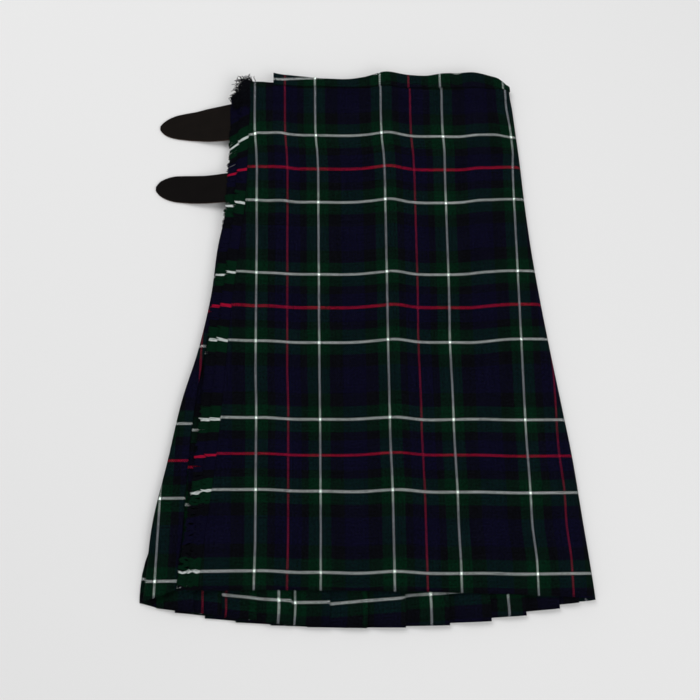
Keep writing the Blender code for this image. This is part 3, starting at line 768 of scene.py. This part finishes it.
def makePleatedBack():
    # one path in strip widths across: each strip runs out, round a half circle and back under,
    # with a climb over each fold; the grid lies between the strips' hems and the top
    pleats = kilt["pleats"]
    kAll, dxAll, zAll, hemAll, uAll, vAll = [], [], [], [], [], []
    near = kilt["hemNear"]

    def add(strip, k, dx, z, hem, fromFold):
        # fromFold: millimetres of cloth from the inner fold, to the left
        stripe, line, rise = pleatedBack["strips"][strip]
        u = tartan["redAcross"] + stripe + fromFold
        v = pleatedBack["whiteRow"] - line - rise * fromFold
        even = np.zeros_like(fromFold)
        for whole, part in zip((kAll, dxAll, zAll, hemAll, uAll, vAll), (k, dx, z, hem, u, v)):
            whole.append(part + even)

    for strip in range(pleats + 1):
        end = min(strip + pleatedBack["depth"], pleats - 1 + pleatedBack["lastFold"])
        start = strip - 1.0
        lift = 0.0
        if strip == 0:
            start = kilt["leftSeamAt"]
            lift = 2 * pitch
        if strip == pleats:
            end = pleats - kilt["seamAt"]
        k = np.linspace(start, end, pleatedBack["outColumns"])
        low = max(strip, 1)
        endX = pleatX(end, near)
        outX = pleatX(k, near)
        add(strip, k, foldPull(low, k), layerLevel(low, k) + lift, stripHem(low, outX), endX - outX)
        if strip == pleats:
            break
        # the inner fold: half circle to the right, then back under
        topZ = layerLevel(low, np.array([end]))[0] + lift
        t = np.linspace(0.0, 1.0, pleatedBack["foldColumns"] + 2)[1:-1]
        dx, z = turnedEdge(0.0, topZ - pitch / 2, pitch / 2, pitch / 2, 90, -90, t)
        endHem = stripHem(low, endX)
        add(strip, end + 0.0 * t, dx, z, endHem + 0.0 * t, -t * pitch)
        k = np.linspace(end, strip, pleatedBack["backColumns"])
        hem = mix(endHem, stripHem(strip + 1, pleatX(float(strip), near)), (end - k) / (end - strip))
        back = pleatX(k, near) - endX
        add(strip, k, foldPull(strip + 1, k), layerLevel(strip + 1, k) + pitch, hem, back)
        dx, z = turnedEdge(0.0, pitch / 2, pitch / 2, pitch / 2, 90, 270, t)
        add(strip, strip + 0.0 * t, dx, z, hem[-1] + 0.0 * t, back[-1] - t * pitch)
    k, dx, level, hem, u, v = [np.concatenate(a) for a in (kAll, dxAll, zAll, hemAll, uAll, vAll)]
    rows = np.linspace(0.0, 1.0, pleatedBack["rows"])[:, None] ** pleatedBack["rowCrowding"]
    y = mix(hem, kilt["layerTop"], rows)
    x = pleatX(k, y) + dx
    z = floorLayer + level + bandRise(y)
    cloth = np.stack([np.broadcast_to(u, y.shape), y + v], -1)
    piece = gridMesh("pleatedBackCloth", np.stack([x, y, z], -1), cloth, clothMaterial)
    thicken(piece, kilt["cloth"])
    return piece


pleatedBackPiece = makePleatedBack()
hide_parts("pleated_back")
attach(pleatedBackPiece, "root")
print("pleated back made")


# waistband: one strip from the over apron's front round to the under apron
waistband = {
    "rows": 12,
    "seamColumns": 14,
    "rollColumns": 18,
    "topColumns": 150,
    "floorColumns": 30,
    "sideColumns": 16,
    "pleatColumns": 8,
    "tuckColumns": 24,
    "start": -106.0,
    "startClear": 1.5,
    "low": 306.5,
    "hiddenLow": 301.5,
    "hiddenTop": 309.5,
    "topX": (-107, -93, -74, -54, -35, -15, 4, 23, 43, 63, 82, 102, 122, 150, 162, 170, 176, 180, 190),
    "topY": (322.3, 319.8, 319.4, 317.2, 316.4, 316.8, 319.7, 323.8, 324.6, 323.2, 322.5, 325.4, 325.9,
             325.2, 323, 320.5, 315.5, 312, 311),
    "tuck": 120.0,
    "tuckFrom": 1.0,             # past the side pleat's fold, where it drops
    "tuckRun": 5.0,
    "whiteRow": 244.55,          # place of its white line in the check
    "lineOver": 2.5,             # of that line over the top edge
    "lineDrop": (11.2, -30.0, 77.0),                      # to the left: amount, start and run
    "lineWaves": ((3.5, 118.0, 9.0), (3.5, 19.0, 5.0)),   # depth, place and width
}


def bandLine(x, crest):
    # height of the white line: over the top edge, lower to the left and at two small waves
    drop, start, run = waistband["lineDrop"]
    line = crest + waistband["lineOver"] - drop * np.clip((start - x) / run, 0.0, 1.0)
    for depth, place, width in waistband["lineWaves"]:
        line = line - depth * np.exp(-((x - place) / width) ** 2)
    return line


def makeWaistband():
    # the front follows the apron's path, the hidden rest a path of straights and a half ellipse
    seam = np.linspace(0.0, 1.0, waistband["seamColumns"], endpoint=False)
    roll = np.linspace(0.0, 1.0, waistband["rollColumns"], endpoint=False)
    top = np.linspace(0.0, 1.0, waistband["topColumns"])
    v = np.linspace(0.0, 1.0, waistband["rows"])[:, None]
    columns = len(seam) + len(roll) + len(top)
    flatX, _ = apronPath(np.full((1, columns), waistband["low"]), pitch, seam, roll, top)
    crest = curveThrough(waistband["topX"], waistband["topY"], flatX)
    frontY = mix(waistband["low"], crest, v)
    hiddenY = mix(waistband["hiddenLow"], waistband["hiddenTop"], v)
    frontY[:, :len(seam)] = hiddenY
    frontX, frontZ = apronPath(frontY, pitch, seam, roll, top)
    keep = frontX[0] > waistband["start"] + waistband["startClear"]
    keep[:len(seam) + len(roll)] = True
    startY = mix(waistband["low"], waistband["topY"][0], v)
    startX = np.full_like(startY, waistband["start"])
    frontX = np.concatenate([startX, frontX[:, keep][:, ::-1]], axis=1)
    frontZ = np.concatenate([overZ(startX, startY) + pitch, frontZ[:, keep][:, ::-1]], axis=1)
    frontY = np.concatenate([startY, frontY[:, keep][:, ::-1]], axis=1)
    # the hidden rest: along the floor, round the left side, over the side pleat, then tucked in
    left = side("left", hiddenY) + kilt["cloth"] / 2
    high = foldTopZ + bandRise(hiddenY) + pitch
    inner = left + kilt["sideRoll"] + pitch
    floorX = mix(frontX[:, -1:], inner, np.linspace(0.0, 1.0, waistband["floorColumns"])[1:-1])
    rollX, rollZ = turnedEdge(inner, (floorLayer + high) / 2, inner - left, (high - floorLayer) / 2,
                              -90, -270, np.linspace(0.0, 1.0, waistband["sideColumns"]))
    fold = side("fold", hiddenY) + pitch
    dropX = fold + waistband["tuckFrom"]
    flatX = dropX + waistband["tuckRun"]
    onPleat = mix(inner, dropX, np.linspace(0.1, 1.0, waistband["pleatColumns"]))
    tucked = mix(flatX, waistband["tuck"], np.linspace(0.05, 1.0, waistband["tuckColumns"]))
    tuckX = np.concatenate([onPleat, flatX, tucked], axis=1)
    tuckZ = high - 2 * pitch * smooth((tuckX - fold - waistband["tuckFrom"]) / waistband["tuckRun"])
    x = np.concatenate([frontX, floorX, rollX, tuckX], axis=1)
    z = np.concatenate([frontZ, np.full_like(floorX, floorLayer), rollZ, tuckZ], axis=1)
    restY = np.broadcast_to(hiddenY, (len(v), x.shape[1] - frontY.shape[1]))
    y = np.concatenate([frontY, restY], axis=1)
    u = x[:, :1] + lengthAlong(x, z)
    u = u - lineShift(u, waistband["low"], "across")
    cloth = np.stack([u, y - bandLine(x, y[-1:]) + waistband["whiteRow"]], -1)
    piece = gridMesh("waistbandCloth", np.stack([x, y, z], -1), cloth, bandMaterial)
    thicken(piece, kilt["cloth"])
    return piece


waistbandPiece = makeWaistband()
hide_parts("waistband")
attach(waistbandPiece, "root")
print("waistband made")


# straps: from the hidden sewn end to the rounded tip, both edges and the height
straps = {
    "thickness": 2.4,
    "columns": 90,
    "rows": 18,
    "strap_upper": {
        "x": (-101, -114, -124, -134, -146, -158, -172, -186, -198, -210, -224, -233, -239, -242),
        "low": (242, 240.6, 239.4, 238.4, 237.6, 237, 237, 237.8, 239.2, 240.4, 242.4, 245.2, 249.4, 253.2),
        "high": (281, 282.2, 283, 283.6, 283.4, 282.6, 281, 279.2, 276.6, 274.6, 271, 266.4, 261.4, 257.4),
        "z": (10.2, 11.6, 13.2, 13.4, 13.2, 11.2, 7.6, 4.4, 2.4, 1.4, 1.3, 1.3, 1.3, 1.3),
        "dark": (0.0046, 0.0036, 0.0031, 1.0),
        "worn": (0.0096, 0.0075, 0.0064, 1.0),
    },
    "strap_lower": {
        "x": (-113, -129, -140, -147, -160, -172, -186, -200, -212, -224, -234, -241, -245),
        "low": (160, 159.2, 158.6, 158.2, 157.8, 157.6, 158, 159, 160.4, 162, 165.4, 170, 175),
        "high": (194, 194.2, 194.2, 194, 193.4, 192.6, 192.4, 193.2, 193.8, 193.2, 190, 185.6, 179.8),
        "z": (10.2, 11.4, 13.2, 13.4, 13, 10.6, 7, 3.8, 1.8, 1.3, 1.3, 1.3, 1.3),
        "dark": (0.0030, 0.0025, 0.0024, 1.0),
        "worn": (0.0062, 0.0052, 0.0050, 1.0),
    },
}

# the straps' surface
leather = {
    "grainScale": 900.0,
    "patchScale": 70.0,
    "rough": 0.62,
    "roughness": (0.2, 0.52),         # strength of the patches in it, and what that is added to
    "specular": 0.02,
    "bump": (0.35, 0.0003),
    "edgeRough": 0.85,
    "edgeSpecular": 0.05,
    "edgeScale": 800.0,
    "edgeDark": (0.020, 0.012, 0.008, 1.0),
    "edgeLight": (0.075, 0.042, 0.028, 1.0),
    "edgeBevel": 0.5,
    "thinner": 0.1,                   # than the solid
}


def makeLeather(name):
    # pebbled grain, worn lighter in patches
    material, tree, shader = newMaterial(
        name.replace("strap_", "blackLeather_"), leather["rough"], 0.0, leather["specular"])
    solid = addNode(tree, "ShaderNodeTexCoord").outputs["Object"]
    grain = addNode(tree, "ShaderNodeTexVoronoi", {"Vector": solid, "Scale": leather["grainScale"]},
                    feature="SMOOTH_F1")
    patch = addNoise(tree, solid, leather["patchScale"], 4.0)
    color = blendColor(tree, patch, straps[name]["dark"], straps[name]["worn"])
    tree.links.new(color, shader.inputs["Base Color"])
    rough = calc(tree, "MULTIPLY_ADD", patch, *leather["roughness"])
    tree.links.new(rough, shader.inputs["Roughness"])
    addBump(tree, shader, grain.outputs[0], *leather["bump"])
    return material


def makeRawEdge():
    # cut fibres of the leather's side
    material, tree, shader = newMaterial("rawStrapEdge", leather["edgeRough"], 0.0, leather["edgeSpecular"])
    solid = addNode(tree, "ShaderNodeTexCoord").outputs["Object"]
    fibre = addNoise(tree, solid, leather["edgeScale"], 5.0)
    color = blendColor(tree, fibre, leather["edgeDark"], leather["edgeLight"])
    tree.links.new(color, shader.inputs["Base Color"])
    return material


rawEdgeMaterial = makeRawEdge()


def makeStrap(name):
    # grid between both edges along the strap, at its height there
    sizes = straps[name]
    t = np.linspace(0.0, 1.0, straps["columns"])
    x = mix(sizes["x"][0], sizes["x"][-1], t)[None, :]
    low = curveThrough(sizes["x"], sizes["low"], x)
    high = curveThrough(sizes["x"], sizes["high"], x)
    v = np.linspace(0.0, 1.0, straps["rows"])[:, None]
    y = mix(low, high, v)
    z = curveThrough(sizes["x"], sizes["z"], x) + 0.0 * v
    points = np.stack([x + 0.0 * v, y, z], -1)[:, ::-1]
    piece = gridMesh(name.replace("strap_", "strapLeather_"), points, points[..., :2], makeLeather(name))
    piece.data.materials.append(rawEdgeMaterial)
    wall = thicken(piece, straps["thickness"] - leather["thinner"])
    wall.material_offset_rim = 1
    soft = piece.modifiers.new("softEdge", "BEVEL")
    soft.width = leather["edgeBevel"] * mm
    soft.segments = 2
    soft.limit_method = "ANGLE"
    return piece


for strapName in ("strap_upper", "strap_lower"):
    strapPiece = makeStrap(strapName)
    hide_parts(strapName)
    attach(strapPiece, "root")
print("straps made")


# fringe: the over apron's edge with its warp drawn out, in two rows of loose weft yarns
fringe = {
    "yarns": 1150,
    "sides": 4,
    "steps": 8,
    "radius": 0.47,
    "taper": 0.2,
    "ends": 1.0,                 # the outer yarns from the hem
    "topEnd": 0.5,               # and from the raw top edge
    "rootIn": 1.2,               # of the roots from the cloth's edge
    "short": 11.5,
    "long": 22.5,
    "topShort": (0.55, 312.0, 12.0),  # share of the length at the top edge, its place, run down
    "unevenLength": (0.5, 0.6),  # by yarn and by group
    "lengthWave": (0.9, 45.0, 3),
    "droop": 0.025,
    "mostFall": 6.0,
    "lowest": 3.0,
    "tierFall": 0.03,            # of the lower row for each millimetre past the side
    "curl": 0.42,
    "curlShare": (0.2, 1.0),
    "turns": (0.8, 2.2),
    "lift": 0.35,
    "liftTurns": 1.3,
    "clump": 3.6,                # width of a group of yarns that cling together
    "cling": 0.1,
    "spread": 0.3,
    # at heights up the garment: how far each row's yarns lie below the woven line they belong
    # to, and their rise for each millimetre to the left
    "at": (-290, -225, -181, -140, -99, -50, -10, 30, 73, 125, 162, 185, 203, 244, 300),
    "step": ((0.3, 0.4, 0.8, 2.0, 2.4, 1.6, 1.0, 1.2, 1.9, 3.0, 3.8, 3.6, 3.2, 2.4, 2.0),
             (0.4, 0.6, 1.6, 2.8, 3.0, 2.4, 2.2, 2.8, 4.4, 6.0, 6.9, 6.4, 5.6, 4.4, 4.0)),
    "lean": ((0, 0, -0.06, 0, 0.04, 0.14, 0.2, 0.16, 0.13, 0.14, 0.16, 0, -0.26, -0.56, -0.35),
             (0, 0, -0.12, -0.03, 0.02, 0.1, 0.16, 0.1, 0.02, 0.02, 0.0, -0.14, -0.3, -0.56, -0.35)),
    "wriggle": (1.2, 1.5),       # of groups of yarns at the hem, by row
    "wriggleFrom": (-120.0, 110.0),
    "strapSpare": 2.0,           # beside a strap, where the yarns still ride over it,
    "strapOver": 1.6,            # how far over it,
    "strapFall": 0.4,            # and their fall for each millimetre past that
    "pleatSpare": (4.0, 3.0),
}

# curly yarns at the top corner
tuft = {
    "yarns": 300,
    "low": 278.0,
    "high": 309.0,
    "turn": (178.0, 62.0, 290.0, 18.0),   # angle, how far it turns up, from where, over what run
    "scatter": 22.0,
    "reach": (15.0, 10.0, 292.0, 18.0),   # low, high, from where, over what run
    "reachShare": (0.5, 1.25),
    "turns": (0.7, 1.8),
    "curl": (0.6, 2.4),
    "lift": (0.0, 1.6),
    "roots": (-8.0, 3.5),                 # of the fringe's root
    "over": 0.7,
    "radius": 0.48,
    "taper": 0.3,
    "colorRow": 270.0,
}


def strandFloor(x, y):
    # lowest height over a strap, falling beside it, or over the side pleat
    floor = np.zeros_like(x)
    for name in ("strap_upper", "strap_lower"):
        sizes = straps[name]
        low = curveThrough(sizes["x"], sizes["low"], x) - fringe["strapSpare"]
        high = curveThrough(sizes["x"], sizes["high"], x) + fringe["strapSpare"]
        away = np.maximum(0.0, np.maximum(low - y, y - high))
        crest = curveThrough(sizes["x"], sizes["z"], x) + straps["thickness"] / 2
        floor = np.maximum(floor, crest + fringe["strapOver"] - fringe["strapFall"] * away)
    inner, outer = fringe["pleatSpare"]
    onPleat = (side("left", y) + inner < x) & (x < side("fold", y) + outer)
    return np.where(onPleat, foldTopZ + kilt["cloth"] + kilt["gap"], floor)


def strandZ(x, y, tier):
    # level with the apron, falling past the rolled side as droop times the square of the way
    over = np.maximum(0.0, side("left", y) + 1.0 - x)
    edge = side("fringe", y)
    z = overZ(edge, y) - fringe["droop"] * over ** 2
    z = np.maximum(z, np.maximum(strandFloor(x, y), fringe["lowest"]) + pitch)
    return z - tier * (pitch + fringe["tierFall"] * over)


def makeFringe(name, tier, reach, seed):
    # each yarn runs left from its root with the row's lean, clinging to its group, wavering a little
    draw = np.random.default_rng(seed)
    count = fringe["yarns"]
    low = overApron["hem"] + fringe["ends"]
    high = overApron["rawTop"] - fringe["topEnd"]
    rootY = low + (np.arange(count) + 0.5 + draw.uniform(-0.3, 0.3, count)) * (high - low) / count
    clump = fringe["clump"]
    group = np.floor(rootY / clump + draw.uniform(-0.25, 0.25, count))
    groupDraw = draw.normal(0.0, 1.0, (400, 2))[(group % 400).astype(int)]
    rootY = rootY[:, None]
    t = np.linspace(0.0, 1.0, fringe["steps"])[None, :]
    edge = side("fringe", rootY)
    byYarn, byGroup = fringe["unevenLength"]
    length = reach + byYarn * draw.normal(0.0, 1.0, (count, 1)) + byGroup * groupDraw[:, :1]
    wave, size, waveSeed = fringe["lengthWave"]
    length = length + wave * softNoise(rootY, 0.0 * rootY, size, waveSeed)
    share, topAt, topRun = fringe["topShort"]
    length = length * mix(share, 1.0, smooth((topAt - rootY) / topRun))
    x = edge + fringe["rootIn"] - t * (length + fringe["rootIn"])
    pull = (group[:, None] * clump + 0.5 * clump - rootY) * fringe["cling"] * smooth(t)
    turns = t * draw.uniform(*fringe["turns"], (count, 1)) + draw.uniform(0.0, 1.0, (count, 1))
    wave = np.sin(2.0 * math.pi * turns)
    y = rootY + curveThrough(fringe["at"], fringe["lean"][tier], rootY) * (edge - x) + pull
    y = y + fringe["spread"] * groupDraw[:, 1:] * t ** 1.5
    y = y + fringe["curl"] * wave * t * draw.uniform(*fringe["curlShare"], (count, 1))
    rootZ = overZ(edge, rootY) - tier * pitch
    z = mix(rootZ, np.maximum(strandZ(x, y, tier), rootZ - fringe["mostFall"] * t), smooth(t * 3.0))
    turns = t * fringe["liftTurns"] + draw.uniform(0.0, 1.0, (count, 1))
    z = z + fringe["lift"] * np.abs(np.cos(2.0 * math.pi * turns)) * t
    # near the hem the groups wriggle more
    start, run = fringe["wriggleFrom"]
    wriggle = np.sin(2.0 * math.pi * (1.5 * t + groupDraw[:, :1])) * smooth(2.0 * t)
    y = y + fringe["wriggle"][tier] * (wriggle * smooth((start - rootY) / run))
    line = np.stack([x, y, z], -1)
    radius = fringe["radius"] * (1.0 - fringe["taper"] * t ** 2) + 0.0 * x
    rootY = rootY[:, 0]
    colorY = rootY - lineShift(edge[:, 0], rootY, "up")
    colorY = colorY + curveThrough(fringe["at"], fringe["step"][tier], rootY)
    if tier == 0:
        tuftLine, tuftRadius, tuftY = makeTuft(draw, t)
        line = np.concatenate([line, tuftLine])
        radius = np.concatenate([radius, tuftRadius])
        colorY = np.concatenate([colorY, tuftY])
    return tubes(name, line, radius, colorY)


def makeTuft(draw, t):
    # curly yarns at the top corner, turning from left to up as they near the raw top edge
    count = tuft["yarns"]
    rootY = draw.uniform(tuft["low"], tuft["high"], (count, 1))
    left, turnUp, start, run = tuft["turn"]
    scatter = draw.normal(0.0, tuft["scatter"], (count, 1))
    angle = np.radians(left - turnUp * smooth((rootY - start) / run) + scatter)
    longer, shorter, start, run = tuft["reach"]
    reach = mix(longer, shorter, smooth((rootY - start) / run))
    reach = reach * draw.uniform(*tuft["reachShare"], (count, 1)) * t
    turns = draw.uniform(*tuft["turns"], (count, 1)) * t + draw.uniform(0.0, 1.0, (count, 1))
    curl = draw.uniform(*tuft["curl"], (count, 1)) * np.sin(2.0 * math.pi * turns) * smooth(t * 2.0)
    lift = draw.uniform(*tuft["lift"], (count, 1)) * np.cos(2.0 * math.pi * turns) * t
    rootX = side("fringe", rootY) + draw.uniform(*tuft["roots"], (count, 1))
    x = rootX + reach * np.cos(angle) - curl * np.sin(angle)
    y = rootY + reach * np.sin(angle) + curl * np.cos(angle)
    z = overZ(side("fringe", rootY), rootY) + tuft["over"] + lift
    radius = tuft["radius"] * (1.0 - tuft["taper"] * t) + 0.0 * x
    return np.stack([x, y, z], -1), radius, np.full(count, tuft["colorRow"])


def tubes(name, line, radius, colorY):
    # for each line a tube: centre + r (side cos a + up sin a), side = up x direction
    count, steps = line.shape[:2]
    sideCount = fringe["sides"]
    direction = np.gradient(line, axis=1)
    direction /= np.linalg.norm(direction, axis=-1, keepdims=True)
    across = np.cross(direction, np.array([0.0, 0.0, 1.0]))
    across /= np.linalg.norm(across, axis=-1, keepdims=True)
    above = np.cross(across, direction)
    a = 2.0 * math.pi * np.arange(sideCount) / sideCount
    a = a[None, None, :, None]
    ring = across[:, :, None] * np.cos(a) + above[:, :, None] * np.sin(a)
    points = line[:, :, None] + ring * radius[:, :, None, None]
    index = np.arange(count * steps * sideCount).reshape(count, steps, sideCount)
    after = np.roll(index, -1, axis=2)
    quads = np.stack([index[:, :-1], after[:, :-1], after[:, 1:], index[:, 1:]], -1).reshape(-1, 4)
    caps = np.concatenate([index[:, 0, ::-1], index[:, -1]])
    mesh = bpy.data.meshes.new(name)
    mesh.from_pydata((points.reshape(-1, 3) * mm).tolist(), [], quads.tolist() + caps.tolist())
    cloth = np.zeros((count, steps, sideCount, 2))
    cloth[..., 0] = line[:, :, None, 0]
    cloth[..., 1] = colorY[:, None, None]
    putCloth(mesh, cloth.reshape(-1, 2))
    return makePiece(mesh, yarnMaterial)


fringeRows = (("fringe_upper", 0, fringe["short"], 21), ("fringe_lower", 1, fringe["long"], 31))
for fringeNode, tier, reach, seed in fringeRows:
    fringePiece = makeFringe(fringeNode.replace("fringe_", "fringeYarns_"), tier, reach, seed)
    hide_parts(fringeNode)
    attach(fringePiece, "root")
print("fringe made")


# floor, light and camera
studio = {
    "floor": (0.78, 0.78, 0.78, 1.0),
    "floorHalf": 3.0,
    "floorRough": 0.9,
    "floorSpecular": 0.1,
    "world": 0.505,
    "target": (-17.1, -20.6, 10.5),
    "turn": 13.642,
    "tilt": 13.061,
    "roll": 13.250,
    "distance": 1148.0,
    "lens": 51.43,
    "sensor": 36.0,
    # place and size in metres, power in watts
    "lights": (("keyLight", (-0.9, 1.2, 2.2), 1.6, 27.5), ("fillLight", (1.2, -1.0, 2.0), 1.8, 20.0)),
}


def makeFloor():
    # one flat square
    half = studio["floorHalf"] / mm
    span = np.linspace(-half, half, 2)
    x, y = np.meshgrid(span, span)
    points = np.stack([x, y, 0.0 * x], -1)
    material, _, shader = newMaterial("paleFloor", studio["floorRough"], 0.0, studio["floorSpecular"])
    shader.inputs["Base Color"].default_value = studio["floor"]
    piece = gridMesh("floor", points, points[..., :2], material)
    return piece


def makeLight(name, place, size, power):
    # a disk that looks at the origin
    data = bpy.data.lights.new(name, "AREA")
    data.shape = "DISK"
    data.size = size
    data.energy = power
    light = bpy.data.objects.new(name, data)
    light.location = place
    light.rotation_mode = "QUATERNION"
    light.rotation_quaternion = (-Vector(place)).to_track_quat("-Z", "Y")
    bpy.context.scene.collection.objects.link(light)


def makeCamera():
    # stands off the target, tilted towards the hem, then rolled
    turn, tilt, roll = [math.radians(studio[key]) for key in ("turn", "tilt", "roll")]
    right = Vector((math.cos(turn), -math.sin(turn), 0.0))
    up = Vector((math.cos(tilt) * math.sin(turn), math.cos(tilt) * math.cos(turn), math.sin(tilt)))
    ahead = Vector((math.sin(tilt) * math.sin(turn), math.sin(tilt) * math.cos(turn), -math.cos(tilt)))
    across = right * math.cos(roll) + up * math.sin(roll)
    over = up * math.cos(roll) - right * math.sin(roll)
    data = bpy.data.cameras.new("camera")
    data.lens = studio["lens"]
    data.sensor_width = studio["sensor"]
    camera = bpy.data.objects.new("camera", data)
    place = (Vector(studio["target"]) - ahead * studio["distance"]) * mm
    camera.matrix_world = Matrix.Translation(place) @ Matrix((across, over, -ahead)).transposed().to_4x4()
    bpy.context.scene.collection.objects.link(camera)
    bpy.context.scene.camera = camera


makeFloor()
for lightSettings in studio["lights"]:
    makeLight(*lightSettings)
makeCamera()
world = bpy.data.worlds.new("studio")
world.use_nodes = True
background = world.node_tree.nodes["Background"].inputs
background["Color"].default_value = (1.0, 1.0, 1.0, 1.0)
background["Strength"].default_value = studio["world"]
bpy.context.scene.world = world
bpy.context.scene.view_settings.view_transform = "Standard"
print("studio made")
